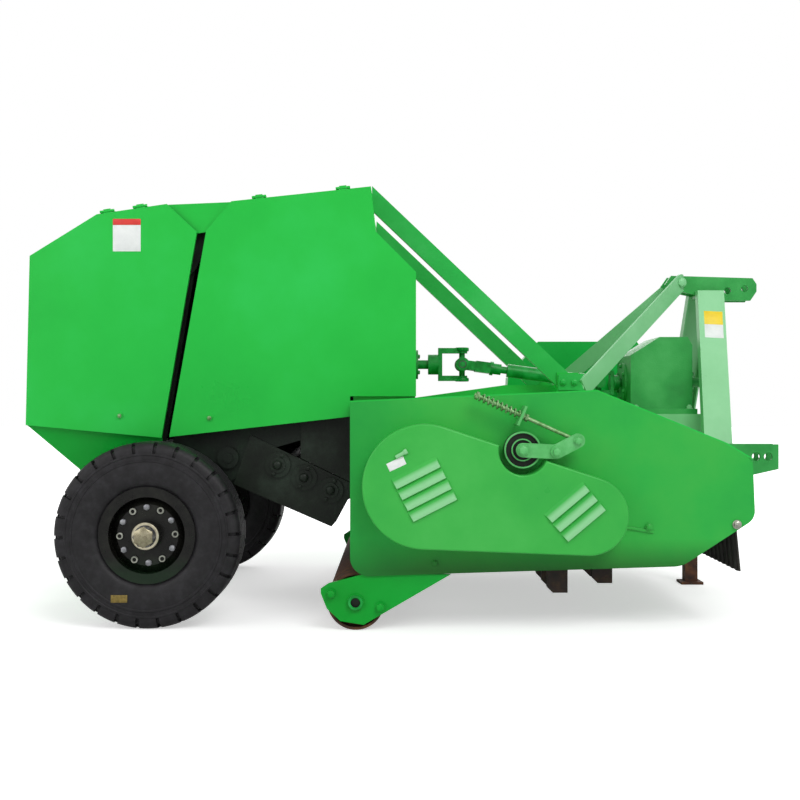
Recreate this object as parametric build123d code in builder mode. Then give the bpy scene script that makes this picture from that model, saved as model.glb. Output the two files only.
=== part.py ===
from build123d import *
import os
from math import atan2, cos, degrees, hypot, radians, sin

"""Straw-crushing round baler, towed on a tractor's three-point hitch.

A flail crusher at the front lifts and chops the straw, an auger and a short roller conveyor pass it
back, and the round bale is wound between rollers in the chamber above the two wheels.

Millimetres.  +X forward, +Y to the machine's left, +Z up; the origin is on the ground below the
middle of the machine.  The right-hand pieces (-Y) are drawn, and the left-hand ones are mirrored.
"""
os.makedirs("parts", exist_ok=True)

# ---------------------------------------------------------------- clearances and stock
RUN = 0.3            # radial clearance of a turning piece on its shaft
SEAT = 0.2           # clearance of a fixed shaft in its hole
SKIN = 4             # folded sheet
WALL = 6             # chamber and conveyor side walls
PLATE = 8            # crusher side plates
LUG = 12             # hitch plates and lugs
MOVE_GAP = 6         # room kept between panels that move past each other

# ---------------------------------------------------------------- bale chamber
WALL_IN = 464        # half the width between the side walls
BEARING_R = 36
BEARING_T = 15
SIDE_SPACE = 45      # room beside the bearings for shaft ends and chains
SKIN_HALF = WALL_IN + WALL + BEARING_T + SIDE_SPACE      # half the width of roof and tail skins
DOOR_DEPTH = 14      # depth of a door's folded rim
DOOR_OUT = SKIN_HALF + MOVE_GAP + DOOR_DEPTH             # outer face of the side doors
DOOR_SKIN = 3
CHAMBER = (-745, 890)        # axis of the bale
RING_R = 380                 # circle through the roller axes
ROLLER_R = 42
SHAFT_R = 17
PIVOT = (-705, 1296)         # tailgate hinge axis
TAIL_ROLLERS = 8
FRONT_ROLLERS = 9
THROAT = 6                   # place in the front row that is left open for the straw

APEX_FRONT = (-689, 1282)    # foot of the hinge notch, front side
APEX_TAIL = (-720, 1279)
ROOF_REAR = (-606, 1381)     # top of the hinge notch, front side
ROOF_FRONT = (-145, 1430)
TAIL_TOP = (-819, 1372)      # top of the hinge notch, tail side
TAIL_KNEE = (-1050, 1338)
TAIL_SHOULDER = (-1272, 1199)
TAIL_HEEL = (-1285, 640)
TAIL_BELLY = (-1090, 460)
TAIL_TOE = (-863, 428)       # lower front corner of the tailgate
SEAM_FOOT = (-842, 430)      # lower end of the seam, front side
DOOR_SEAM_FRONT = (-811, 601)
DOOR_SEAM_TAIL = (-837, 598)

# ---------------------------------------------------------------- wheels and axle
WHEEL_X = -848
TYRE_R = 295
TYRE_W = 180
WHEEL_Y = DOOR_OUT + TYRE_W / 2 + 10         # half the track
RIM_R = 153          # rim flange
BEAD_R = 127
RIM_W = 150
SPINDLE_R = 20
HUB_R = 45
HUB_LEN = 110
AXLE_SIDE = 70       # square axle beam

# ---------------------------------------------------------------- crusher
SIDE_OUT = 760       # outer face of the side plates
ROTOR = (527, 368)
AUGER = (26, 458)
AUGER_R = 148
PRESS_AXIS_X = -188
PRESS_R = 90
PRESS_WALL = 8

SIDE_TOP_REAR = (-205, 716)
SIDE_TOP_MID = (566, 750)
SIDE_TOP_FRONT = (972, 584)
SIDE_NOSE_TOP = (1052, 536)
SIDE_NOSE_LOW = (1060, 352)
SIDE_TOE = (831, 203)
SIDE_LOW_REAR = (-205, 171)
SIDE_CORNER_R = 58

# ---------------------------------------------------------------- hitch
BEAM_X = 1015
BEAM_Z = 490
BEAM_SIDE = 80
LOWER_PIN = (1199, 531)      # lower link hole nearest the tractor
LOWER_PIN_R = 14.5
LOWER_PIN_STEP = 41          # distance between the two lower link holes
LOWER_SPAN = 412.5           # half of the 825 mm between the lower links
LOWER_GAP = 50               # between the two ears
MAST_HEIGHT = 610
TOP_PIN_X = 1240
TOP_PIN_R = 12.9
TOP_PIN_STEP = 64
TOP_GAP = 56
POST_W = 97
POST_T = 40
POST_WALL = 6
POST_HEAD = (1102, 1130)     # top of a mast post
POST_FOOT_X = 1060
POST_FOOT_Y = LOWER_SPAN - LOWER_GAP / 2 - LUG - POST_T / 2 - 10.5
LUG_X = 572          # foot of struts and braces on the hood
STRUT_Y = 385
STRUT_DEPTH = 60
STRUT_T = 30
STRUT_HEAD = (-147, 1418)    # middle of a strut at the chamber's front wall
STRUT_FOOT = (515, 788)      # lower end of a strut, beside its lug
FAR = 4000                   # side of the blocks that cut a piece off at a plane
STAND_HALF = 165     # half the width of the gearbox stand
BASE_T = 19          # gearbox foot flange

# ---------------------------------------------------------------- drives
GEARBOX_X = (796, 1022)
GEARBOX_Z = (692, 955)
GEARBOX_HALF = 130
OUTPUT_Z = 790
FRONT_JOINT = (700, 790)
REAR_JOINT = (185, 858)
SIDE_SHAFT = (909, 800)
COVER_DEPTH = 100
COVER_OUT = SIDE_OUT + COVER_DEPTH
LOUVRE_H = 9
COVER_BIG_R = 191
COVER_SMALL_R = 120
IDLER = (327, 569)
IDLER_R = 57
ARM_PIVOT = (428, 564)
ARM_END = (494, 598)
ROD_TAIL = (180, 739)

# ---------------------------------------------------------------- parking leg
LEG_X = 1099
LEG_Y = POST_FOOT_Y - 130
LEG_SIDE = 49
SLEEVE_SIDE = 60
SLEEVE_Z = (325, 470)


# ---------------------------------------------------------------- helpers
def on_ring(angle):
    """Point on the roller circle at an angle from +X towards +Z."""
    turn = radians(angle)
    return (CHAMBER[0] + RING_R * cos(turn), CHAMBER[1] + RING_R * sin(turn))


def bearing_of(point, centre):
    """Angle of a point as seen from a centre, in degrees."""
    return degrees(atan2(point[1] - centre[1], point[0] - centre[0]))


def between(a, b, share):
    """Point at a share of the way from a to b."""
    return tuple(p + (q - p) * share for p, q in zip(a, b))


def sheet_outline(points, thickness):
    """Closed outline of a folded sheet: the points, and the same path set off to their right."""
    inner = []
    for i, (x, z) in enumerate(points):
        before = points[max(i - 1, 0)]
        after = points[min(i + 1, len(points) - 1)]
        here = (x, z)
        d1 = (x - before[0], z - before[1]) if before != here else (after[0] - x, after[1] - z)
        d2 = (after[0] - x, after[1] - z) if after != here else d1
        n1 = (d1[1] / hypot(*d1), -d1[0] / hypot(*d1))
        n2 = (d2[1] / hypot(*d2), -d2[0] / hypot(*d2))
        scale = thickness / (1 + n1[0] * n2[0] + n1[1] * n2[1])
        inner.append((x + (n1[0] + n2[0]) * scale, z + (n1[1] + n2[1]) * scale))
    return list(points) + inner[::-1]


def slab(outline, inner, outer, holes=(), radius=0):
    """Plate with an outline in X and Z, from Y = -inner to Y = -outer, with round holes."""
    with BuildPart() as made:
        with BuildSketch(Plane.XZ.offset(inner)):
            with BuildLine():
                Polyline(*outline, close=True)
            make_face()
            for centre, hole_r in holes:
                with Locations(centre):
                    Circle(hole_r, mode=Mode.SUBTRACT)
        extrude(amount=outer - inner)
    return made


def cross_sheet(points, half, thickness=SKIN):
    """Folded sheet across the machine."""
    return slab(sheet_outline(points, thickness), -half, half)


def bar(start, end, width, depth, wall=0):
    """Rectangular bar between two points; its width lies level, square to its length."""
    run = Vector(*end) - Vector(*start)
    level = Vector(0, 0, 1).cross(run)
    with BuildPart() as made:
        with BuildSketch(Plane(origin=start, x_dir=level, z_dir=run)):
            Rectangle(width, depth)
            if wall:
                Rectangle(width - 2 * wall, depth - 2 * wall, mode=Mode.SUBTRACT)
        extrude(amount=run.length)
    return made


def save(piece, name):
    """Label one sub-part and write its STEP file."""
    piece.part.label = name
    export_step(piece.part, f"parts/{name}.step")


def save_pair(right, name):
    """Write a right-hand sub-part and its mirror image."""
    save(right, f"{name}_right")
    with BuildPart() as left:
        mirror(right.part, about=Plane.XZ)
    save(left, f"{name}_left")


# The hood's sheet lies on the side plates; its upper face carries the walls, lugs and stand.
hood_path = [SIDE_NOSE_TOP, SIDE_TOP_FRONT, SIDE_TOP_MID, SIDE_TOP_REAR]
hood_top = sheet_outline(hood_path, SKIN)[len(hood_path):][::-1]


def hood_z(x):
    """Height of the hood's upper face."""
    for front, rear in zip(hood_top, hood_top[1:]):
        if rear[0] <= x <= front[0]:
            return between(rear, front, (x - rear[0]) / (front[0] - rear[0]))[1]
    return None


# ================================================================ chamber rollers
top_angle = bearing_of(PIVOT, CHAMBER)
foot_angle = bearing_of(between(TAIL_TOE, SEAM_FOOT, 0.5), CHAMBER)
front_pitch = (top_angle - foot_angle) / FRONT_ROLLERS
tail_pitch = (360 - top_angle + foot_angle) / TAIL_ROLLERS
front_axes = [
    on_ring(top_angle - front_pitch * (i + 0.5))
    for i in range(FRONT_ROLLERS)
    if i != THROAT
]
tail_axes = [on_ring(top_angle + tail_pitch * (i + 0.5)) for i in range(TAIL_ROLLERS)]
bearing_out = WALL_IN + WALL + BEARING_T


def rollers(axes, radius, shaft_r, half, shaft_half):
    """Plain rollers with shaft ends, one solid each."""
    with BuildPart() as made:
        with BuildSketch(Plane.XZ.offset(-half)):
            with Locations(*axes):
                Circle(radius)
        extrude(amount=2 * half)
        with BuildSketch(Plane.XZ.offset(-shaft_half)):
            with Locations(*axes):
                Circle(shaft_r)
        extrude(amount=2 * shaft_half)
    return made


def wall_with_bearings(outline, skin_path, axes):
    """Chamber side wall inside a folded skin, with a flanged bearing outside each shaft."""
    with BuildPart() as made:
        with BuildSketch(Plane.XZ.offset(WALL_IN)):
            with BuildLine():
                Polyline(*outline, close=True)
            make_face()
            with BuildLine():
                Polyline(*sheet_outline(skin_path, SKIN), close=True)
            make_face(mode=Mode.SUBTRACT)
        extrude(amount=WALL)
        with BuildSketch(Plane.XZ.offset(WALL_IN + WALL)):
            with Locations(*axes):
                Circle(BEARING_R)
        extrude(amount=BEARING_T)
        with BuildSketch(Plane.XZ.offset(WALL_IN)):
            with Locations(*axes):
                Circle(SHAFT_R + SEAT)
        extrude(amount=WALL + BEARING_T, mode=Mode.SUBTRACT)
    return made


save(rollers(front_axes, ROLLER_R, SHAFT_R, WALL_IN - 3, bearing_out + 4), "chamber_rollers")
save(rollers(tail_axes, ROLLER_R, SHAFT_R, WALL_IN - 3, bearing_out + 4), "tailgate_rollers")

# ================================================================ chamber walls and skins
# The fixed wall reaches down to the axle beam.
axle_top = TYRE_R + AXLE_SIDE / 2
nose_z = hood_z(ROOF_FRONT[0]) + SEAT        # the front wall stands on the hood
FLANGE_SHARE = 0.32  # the skins' notch flanges start this far up from the hinge
front_skin_path = [
    between(APEX_FRONT, ROOF_REAR, FLANGE_SHARE),
    ROOF_REAR,
    ROOF_FRONT,
    (ROOF_FRONT[0], nose_z),
]
fixed_wall = [APEX_FRONT] + front_skin_path[1:] + [
    (SIDE_LOW_REAR[0] - 2 * MOVE_GAP, nose_z),
    (-340, 662),
    (-340, 600),
    (-480, 560),
    (-590, 470),
    (-640, 436),
    (WHEEL_X + AXLE_SIDE / 2, axle_top),
    (WHEEL_X - AXLE_SIDE / 2, axle_top),
    (WHEEL_X - AXLE_SIDE / 2, axle_top + 35),
    SEAM_FOOT,
]
tail_outline = [TAIL_TOE, TAIL_BELLY, TAIL_HEEL, TAIL_SHOULDER, TAIL_KNEE, TAIL_TOP]
tail_skin_path = tail_outline + [between(APEX_TAIL, TAIL_TOP, FLANGE_SHARE)]

# A hinge ear outside each wall carries the tailgate's pin; the tailgate's ear lies outside it.
EAR_R = 32
PIN_R = 15
EAR_T = 8
FRONT_EAR_ROOT = (-668, 1180)
TAIL_EAR_ROOT = (-764, 1176)
ear_in = WALL_IN + WALL
tail_ear_in = ear_in + EAR_T + RUN


def hinge_ear(root, inner, outer):
    """Ear from the hinge axis down to its root beside a side wall."""
    with BuildPart() as made:
        with BuildSketch(Plane.XZ.offset(inner)):
            with Locations(PIVOT, root):
                Circle(EAR_R)
            make_hull()
        extrude(amount=outer - inner)
    return made


def disc(centre, radius, inner, outer):
    """Round plug or pin across the machine, from Y = -inner to Y = -outer."""
    with BuildPart() as made:
        with BuildSketch(Plane.XZ.offset(inner)):
            with Locations(centre):
                Circle(radius)
        extrude(amount=outer - inner)
    return made


with BuildPart() as chamber_wall:
    add(wall_with_bearings(fixed_wall, front_skin_path, front_axes))
    add(hinge_ear(FRONT_EAR_ROOT, ear_in, ear_in + EAR_T))
    add(disc(PIVOT, PIN_R, ear_in, tail_ear_in + EAR_T + 4))
save_pair(chamber_wall, "chamber_wall")

with BuildPart() as tailgate_wall:
    add(wall_with_bearings(tail_outline + [APEX_TAIL], tail_skin_path, tail_axes))
    add(hinge_ear(TAIL_EAR_ROOT, tail_ear_in, tail_ear_in + EAR_T))
    add(disc(TAIL_EAR_ROOT, EAR_R, ear_in, tail_ear_in))
    add(disc(PIVOT, PIN_R + RUN, tail_ear_in, tail_ear_in + EAR_T), mode=Mode.SUBTRACT)
save_pair(tailgate_wall, "tailgate_wall")

# The gusset closes the hinge notch beside the roof; the tail skin passes inside it.
GUSSET_T = 3
gusset_out = SKIN_HALF - MOVE_GAP + 1
GUSSET_TAIL = [(-836, 1368), (-738, 1277), (-720, 1277)]     # its edge behind the tail door
gusset = slab([APEX_FRONT, ROOF_REAR, TAIL_TOP] + GUSSET_TAIL, gusset_out - GUSSET_T, gusset_out)

# ---------------------------------------------------------------- tailgate skin and skirts
# Below the side doors the tailgate tapers inwards, in one plane on each side, to clear the wheels.
skirt_slope = (SKIN_HALF - WALL_IN - WALL - SEAT) / (DOOR_SEAM_TAIL[1] - TAIL_TOE[1])


def skirt_corner(point):
    """Point of the tapered plane, on the right-hand side."""
    share = (point[0] - TAIL_HEEL[0]) / (DOOR_SEAM_TAIL[0] - TAIL_HEEL[0])
    fold_z = TAIL_HEEL[1] + (DOOR_SEAM_TAIL[1] - TAIL_HEEL[1]) * share
    return Vector(point[0], (fold_z - point[1]) * skirt_slope - SKIN_HALF, point[1])


skirt_corners = [skirt_corner(p) for p in (TAIL_HEEL, DOOR_SEAM_TAIL, TAIL_TOE, TAIL_BELLY)]
skirt_edge = skirt_corners[1] - skirt_corners[0]
skirt_plane = Plane(
    origin=skirt_corners[0],
    x_dir=skirt_edge,
    z_dir=(skirt_corners[2] - skirt_corners[0]).cross(skirt_edge),
)
with BuildPart() as skirt:
    with BuildSketch(skirt_plane):
        with BuildLine():
            Polyline(*[skirt_plane.to_local_coords(c) for c in skirt_corners], close=True)
        make_face()
    extrude(amount=DOOR_SKIN)
save_pair(skirt, "tailgate_skirt")

notch_half = gusset_out - GUSSET_T - MOVE_GAP
NOTCH_X = -865       # the roof is cut back to here beside the gussets
NOTCH_CUT = 200      # size of the cut for a gusset
with BuildPart() as beyond_skirt:
    with BuildSketch(skirt_plane):
        Rectangle(FAR, FAR)
    extrude(amount=NOTCH_CUT)
with BuildPart() as tail_skin:
    add(cross_sheet(tail_skin_path, SKIN_HALF))
    add(beyond_skirt, mode=Mode.SUBTRACT)
    mirror(beyond_skirt.part, about=Plane.XZ, mode=Mode.SUBTRACT)
    for side in (1, -1):
        outward = Align.MIN if side > 0 else Align.MAX
        with Locations((NOTCH_X, side * notch_half, PIVOT[1] - EAR_R)):
            Box(NOTCH_CUT, SKIN_HALF, NOTCH_CUT, align=(Align.MIN, outward, Align.MIN), mode=Mode.SUBTRACT)

# ================================================================ side doors
# Folded pans, each hung on two hinges at its top edge and held by a latch near its bottom edge.
HINGE_R = 4
HINGE_PIN_R = 2
KNUCKLE = 24         # length of the door's knuckle; the fixed ones are half as long
LEAF_T = 3
LEAF_W = 34
DOOR_DROP = 1.5      # top edge of a door below the roof line
LATCH_R = 9
LATCH_H = 5


def hinge_axes(top_from, top_to, shares):
    """Middle of each hinge on the top edge, with the directions along it and square to it."""
    along = Vector(top_to[0] - top_from[0], 0, top_to[1] - top_from[1]).normalized()
    up = Vector(-along.Z, 0, along.X)
    if up.Z < 0:
        up = -up
    spots = [between(top_from, top_to, share) for share in shares]
    return [Vector(x, -DOOR_OUT, z) + up * HINGE_R for x, z in spots], along, up


def door(outline, hinges, latch):
    """Side door: a pan with its rim, a latch, and a knuckle on a tab at each hinge."""
    axes, along, up = hinges
    with BuildPart() as pan:
        with BuildSketch(Plane.XZ.offset(DOOR_OUT - DOOR_DEPTH)) as face:
            with BuildLine():
                Polyline(*outline, close=True)
            make_face()
        extrude(amount=DOOR_DEPTH)
        with BuildSketch(Plane.XZ.offset(DOOR_OUT - DOOR_DEPTH)):
            add(face.sketch_local)
            offset(amount=-DOOR_SKIN, kind=Kind.INTERSECTION, mode=Mode.REPLACE)
        extrude(amount=DOOR_DEPTH - DOOR_SKIN, mode=Mode.SUBTRACT)
        add(disc(latch, LATCH_R, DOOR_OUT, DOOR_OUT + LATCH_H))
        for axis in axes:
            start = axis - along * (KNUCKLE / 2)
            with BuildSketch(Plane(origin=start, x_dir=(0, 1, 0), z_dir=along)) as tab:
                with Locations((DOOR_SKIN / 2, 0)):
                    Rectangle(DOOR_SKIN, 2 * (HINGE_R + 2 * DOOR_DROP))
                Circle(HINGE_R)
                Circle(HINGE_PIN_R + RUN, mode=Mode.SUBTRACT)
            extrude(amount=KNUCKLE)
    return pan


def hinge_leaves(hinges, half):
    """Fixed leaves with their knuckles and pins, on both sides of a roof."""
    axes, along, up = hinges
    with BuildPart() as right:
        for axis in axes:
            length = KNUCKLE / 2 - RUN
            for start in (-KNUCKLE, KNUCKLE / 2 + RUN):
                foot = axis + along * start
                with BuildSketch(Plane(origin=foot, z_dir=along)):
                    Circle(HINGE_R)
                extrude(amount=length)
                inner = Vector(foot.X, -half + LEAF_W, foot.Z) - up * HINGE_R
                with BuildSketch(Plane(origin=inner, x_dir=along, z_dir=up)):
                    Rectangle(length, LEAF_W + DOOR_OUT - half, align=(Align.MIN, Align.MAX))
                extrude(amount=LEAF_T)
            with BuildSketch(Plane(origin=axis - along * KNUCKLE, z_dir=along)):
                Circle(HINGE_PIN_R)
            extrude(amount=2 * KNUCKLE)
    return right


door_foot_x = SIDE_LOW_REAR[0] - 1.5 * MOVE_GAP
door_foot_z = hood_z(4) + MOVE_GAP
DOOR_NOSE = [(-128, 1278), (4, 1146), (4, door_foot_z), (door_foot_x, door_foot_z), (door_foot_x, 668)]
front_hinges = hinge_axes(ROOF_REAR, ROOF_FRONT, (0.2, 0.8))
tail_hinges = hinge_axes(TAIL_KNEE, TAIL_TOP, (0.15, 0.62))
lowered = [(x, z - DOOR_DROP) for x, z in (ROOF_REAR, ROOF_FRONT, TAIL_TOP, TAIL_KNEE)]
front_outline = [APEX_FRONT, lowered[0], lowered[1]] + DOOR_NOSE + [DOOR_SEAM_FRONT]
tail_door_outline = [APEX_TAIL, lowered[2], lowered[3], TAIL_SHOULDER, TAIL_HEEL, DOOR_SEAM_TAIL]
save_pair(door(front_outline, front_hinges, (-678, 664)), "front_door")
save_pair(door(tail_door_outline, tail_hinges, (-974, 671)), "tailgate_door")

with BuildPart() as chamber_skin:
    add(cross_sheet(front_skin_path, SKIN_HALF))
    front_leaves = hinge_leaves(front_hinges, SKIN_HALF)
    add(front_leaves)
    mirror(front_leaves.part, about=Plane.XZ)
    add(gusset)
    mirror(gusset.part, about=Plane.XZ)
save(chamber_skin, "chamber_skin")

with BuildPart() as tailgate_skin:
    add(tail_skin)
    tail_leaves = hinge_leaves(tail_hinges, SKIN_HALF)
    add(tail_leaves)
    mirror(tail_leaves.part, about=Plane.XZ)
save(tailgate_skin, "tailgate_skin")

# ================================================================ axle and wheels
WASHER_R = 42
WASHER_T = 6
NUT_R = 34
NUT_T = 26
COLLAR = 12          # shoulder of the spindle inside the hub
RIM_T = 6
hub_in = WHEEL_Y - 20
hub_out = hub_in + HUB_LEN
beam_half = WALL_IN + WALL
wheel_axis = (WHEEL_X, TYRE_R)

with BuildPart() as spindle:
    add(disc(wheel_axis, SPINDLE_R + COLLAR, beam_half, hub_in - RUN))
    add(disc(wheel_axis, SPINDLE_R, beam_half, hub_out + RUN + WASHER_T + NUT_T))
    add(disc(wheel_axis, WASHER_R, hub_out + RUN, hub_out + RUN + WASHER_T))
    with BuildSketch(Plane.XZ.offset(hub_out + RUN + WASHER_T)):
        with Locations(wheel_axis):
            RegularPolygon(NUT_R, 6)
    extrude(amount=NUT_T)
with BuildPart() as axle:
    with Locations((WHEEL_X, 0, TYRE_R)):
        Box(AXLE_SIDE, 2 * beam_half, AXLE_SIDE)
    add(spindle)
    mirror(spindle.part, about=Plane.XZ)
save(axle, "axle")

# Both are turned about the wheel axis: radius first, then distance out from the wheel's middle.
half_tyre = TYRE_W / 2
half_rim = RIM_W / 2
SHOULDER = 26
tyre_section = [
    (BEAD_R + SEAT, -half_rim + RIM_T),
    (RIM_R + 1, -half_rim + RIM_T),
    (RIM_R + 8, -half_rim - 4),
    (TYRE_R * 0.78, -half_tyre),
    (TYRE_R - SHOULDER, -half_tyre + 3),
    (TYRE_R, -half_tyre + SHOULDER),
    (TYRE_R, half_tyre - SHOULDER),
    (TYRE_R - SHOULDER, half_tyre - 3),
    (TYRE_R * 0.78, half_tyre),
    (RIM_R + 8, half_rim + 4),
    (RIM_R + 1, half_rim - RIM_T),
    (BEAD_R + SEAT, half_rim - RIM_T),
]
# The dished disc stands outside the wheel's middle, its centre against the hub flange.
disc_out = hub_out - WHEEL_Y - 34
rim_section = [
    (HUB_R, disc_out - RIM_T),
    (HUB_R + 50, disc_out - RIM_T),
    (BEAD_R - RIM_T, disc_out - 34),
    (BEAD_R - RIM_T, -half_rim),
    (RIM_R, -half_rim),
    (RIM_R, -half_rim + RIM_T),
    (BEAD_R, -half_rim + RIM_T),
    (BEAD_R, half_rim - RIM_T),
    (RIM_R, half_rim - RIM_T),
    (RIM_R, half_rim),
    (BEAD_R - RIM_T, half_rim),
    (BEAD_R - RIM_T, disc_out - 24),
    (HUB_R + 52, disc_out),
    (HUB_R, disc_out),
]


def turned(section):
    """Ring turned about the right-hand wheel's axis."""
    plane = Plane(origin=(WHEEL_X, -WHEEL_Y, TYRE_R), x_dir=(1, 0, 0), z_dir=(0, 0, 1))
    with BuildPart() as made:
        with BuildSketch(plane):
            with BuildLine():
                Polyline(*[(r, -out) for r, out in section], close=True)
            make_face()
        revolve(axis=Axis((WHEEL_X, -WHEEL_Y, TYRE_R), (0, 1, 0)))
    return made


save_pair(turned(tyre_section), "tyre")
with BuildPart() as rim:
    add(turned(rim_section))
    add(disc(wheel_axis, HUB_R, hub_in, hub_out))
    add(disc(wheel_axis, SPINDLE_R + RUN, hub_in, hub_out), mode=Mode.SUBTRACT)
save_pair(rim, "rim")

# ================================================================ feed conveyor
CONV_R = 36
CONV_SHAFT_R = 13
CONV_FLANGE_R = 43
CONV_FLANGE_T = 8
CONV_BEARING_R = 26
CONV_PITCH = 98.5
CONV_ROLLERS = 3
conv_top = (-552, 605)
conv_foot = (-205, 439)
conv_axis_rear = (-460, 505)
conv_dir = Vector(conv_foot[0] - conv_top[0], conv_foot[1] - conv_top[1]).normalized()
conv_axes = [
    (conv_axis_rear[0] + conv_dir.X * CONV_PITCH * i, conv_axis_rear[1] + conv_dir.Y * CONV_PITCH * i)
    for i in range(CONV_ROLLERS)
]
conv_in = WALL_IN + WALL
conv_outline = [conv_top, conv_foot, (-205, 398), (-224, 388), (-263, 316), (-280, 297), (-609, 440)]
with BuildPart() as conveyor_side:
    add(slab(conv_outline, conv_in, conv_in + WALL, [(c, CONV_SHAFT_R + SEAT) for c in conv_axes]))
    for radius, thickness in ((CONV_FLANGE_R, CONV_FLANGE_T), (CONV_BEARING_R, BEARING_T)):
        with BuildSketch(Plane.XZ.offset(conv_in + WALL)):
            with Locations(*conv_axes):
                Circle(radius)
                Circle(CONV_SHAFT_R + SEAT, mode=Mode.SUBTRACT)
        extrude(amount=thickness)
save_pair(conveyor_side, "conveyor_side")
conv_shaft_half = conv_in + WALL + BEARING_T + 4
save(rollers(conv_axes, CONV_R, CONV_SHAFT_R, WALL_IN - 3, conv_shaft_half), "conveyor_rollers")
floor_path = [(-205, 398), (-224, 388), (-263, 316), (-280, 297), (-609, 440)]
save(cross_sheet(floor_path, conv_in), "conveyor_floor")

# ================================================================ crusher body
side_in = SIDE_OUT - PLATE
side_outline = [
    (SIDE_LOW_REAR[0], SIDE_TOP_REAR[1]),
    SIDE_TOP_MID,
    SIDE_TOP_FRONT,
    SIDE_NOSE_TOP,
    SIDE_NOSE_LOW,
    SIDE_TOE,
    SIDE_LOW_REAR,
]
corner_radii = [(SIDE_LOW_REAR, SIDE_CORNER_R), (SIDE_NOSE_TOP, 40), (SIDE_NOSE_LOW, 45), (SIDE_TOE, 90)]
ROTOR_SHAFT_R = 27
AUGER_SHAFT_R = 22
HOUSING_R = 62       # bolted bearing housings on the side plates
HOUSING_T = 22
ROD_R = 9            # curtain rod
CURTAIN_TOP = (1002, 334)
with BuildPart() as crusher_side:
    with BuildSketch(Plane.XZ.offset(side_in)) as profile:
        with BuildLine():
            Polyline(*side_outline, close=True)
        make_face()
        for spot, radius in corner_radii:
            fillet(profile.vertices().sort_by_distance((spot[0], spot[1], 0))[0], radius)
        with Locations(CURTAIN_TOP):
            Circle(ROD_R + SEAT, mode=Mode.SUBTRACT)
    extrude(amount=PLATE)
    for centre, shaft_r in ((ROTOR, ROTOR_SHAFT_R), (AUGER, AUGER_SHAFT_R)):
        add(disc(centre, HOUSING_R, SIDE_OUT, SIDE_OUT + HOUSING_T))
        add(disc(centre, shaft_r + RUN, side_in, SIDE_OUT + HOUSING_T), mode=Mode.SUBTRACT)
save_pair(crusher_side, "crusher_side")

# Lugs on the hood carry the feet of the braces and the chamber struts.
LUG_H = 66
LUG_L = 84
LUG_T = 10
lug_in = STRUT_Y + STRUT_T / 2
lug_rear = LUG_X - LUG_L
lug_top = hood_z(lug_rear) + LUG_H
lug_outline = [
    (lug_rear, hood_z(lug_rear)),
    (SIDE_TOP_MID[0] - 4, hood_z(SIDE_TOP_MID[0] - 4)),
    (SIDE_TOP_MID[0] - 4, lug_top),
    (lug_rear, lug_top),
]
RAISED = ((-21, 320), 549, 776)      # foot and head of its ramp, front end, height
RAISED_HALF = 300
ramp, raised_front, raised_z = RAISED
raised_outline = [
    (ramp[0], hood_z(ramp[0])),
    (ramp[1], raised_z),
    (raised_front, raised_z),
    (raised_front, hood_z(raised_front)),
]
with BuildPart() as hood:
    add(cross_sheet(hood_path, SIDE_OUT))
    add(slab(raised_outline, -RAISED_HALF, RAISED_HALF))
    lug = slab(lug_outline, lug_in, lug_in + LUG_T)
    add(lug)
    mirror(lug.part, about=Plane.XZ)
save(hood, "hood")

# The rear wall has a mouth for the conveyor; the trough lies round the auger.
TROUGH_GAP = 14
MOUTH_Z = (398, 570)
trough_r = AUGER_R + TROUGH_GAP
back_x = SIDE_LOW_REAR[0]
with BuildPart() as crusher_back:
    with BuildSketch(Plane.YZ.offset(back_x)):
        with Locations((0, MOUTH_Z[0])):
            standing = (Align.CENTER, Align.MIN)
            Rectangle(2 * side_in, SIDE_TOP_REAR[1] - MOUTH_Z[0], align=standing)
            Rectangle(2 * WALL_IN, MOUTH_Z[1] - MOUTH_Z[0], align=standing, mode=Mode.SUBTRACT)
    extrude(amount=SKIN)
save(crusher_back, "crusher_back")

trough_lip = (AUGER[0] + trough_r * cos(radians(205)), AUGER[1] + trough_r * sin(radians(205)))
with BuildPart() as trough:
    with BuildSketch(Plane.XZ.offset(-side_in)):
        with BuildLine():
            inner_arc = CenterArc(AUGER, trough_r, 205, 140)
            outer_arc = CenterArc(AUGER, trough_r + SKIN, 205, 140)
            Line(inner_arc @ 0, outer_arc @ 0)
            Line(inner_arc @ 1, outer_arc @ 1)
        make_face()
    extrude(amount=2 * side_in)
    lip_rear = (back_x, MOUTH_Z[0] - SKIN)
    lip_path = [lip_rear, trough_lip]
    add(cross_sheet(lip_path, side_in))
save(trough, "auger_trough")

# ================================================================ rotors
# Flail reel: four rows of hammers that hang from their pins at rest.
TUBE_R = 62
TUBE_END = 12        # room between the reel tube and the side plates
HAMMER_W = 66
HAMMER_T = 22
HAMMER_LEN = 178
HAMMER_PIN_R = 112   # circle through the hammer pins
HAMMERS = 9
HAMMER_FOOT_CUT = 18
HAMMER_ROWS = (      # angle of the pins, stagger in pitches, lean of the hammers
    (-128, 0, 0),
    (-38, 0.5, 0),
    (52, 0, 16),
    (142, 0.5, 0),
)
REEL_END = 70        # from the end of the tube to the first hammer's place
HAMMER_EYE_R = 26
tube_half = side_in - TUBE_END
hammer_pitch = 2 * (tube_half - REEL_END) / HAMMERS
half_hammer = HAMMER_W / 2
hammer_outline = [
    (-half_hammer, HAMMER_EYE_R),
    (half_hammer, HAMMER_EYE_R),
    (half_hammer, -HAMMER_LEN),
    (HAMMER_FOOT_CUT - half_hammer, -HAMMER_LEN),
    (-half_hammer, HAMMER_FOOT_CUT - HAMMER_LEN),
]

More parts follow.
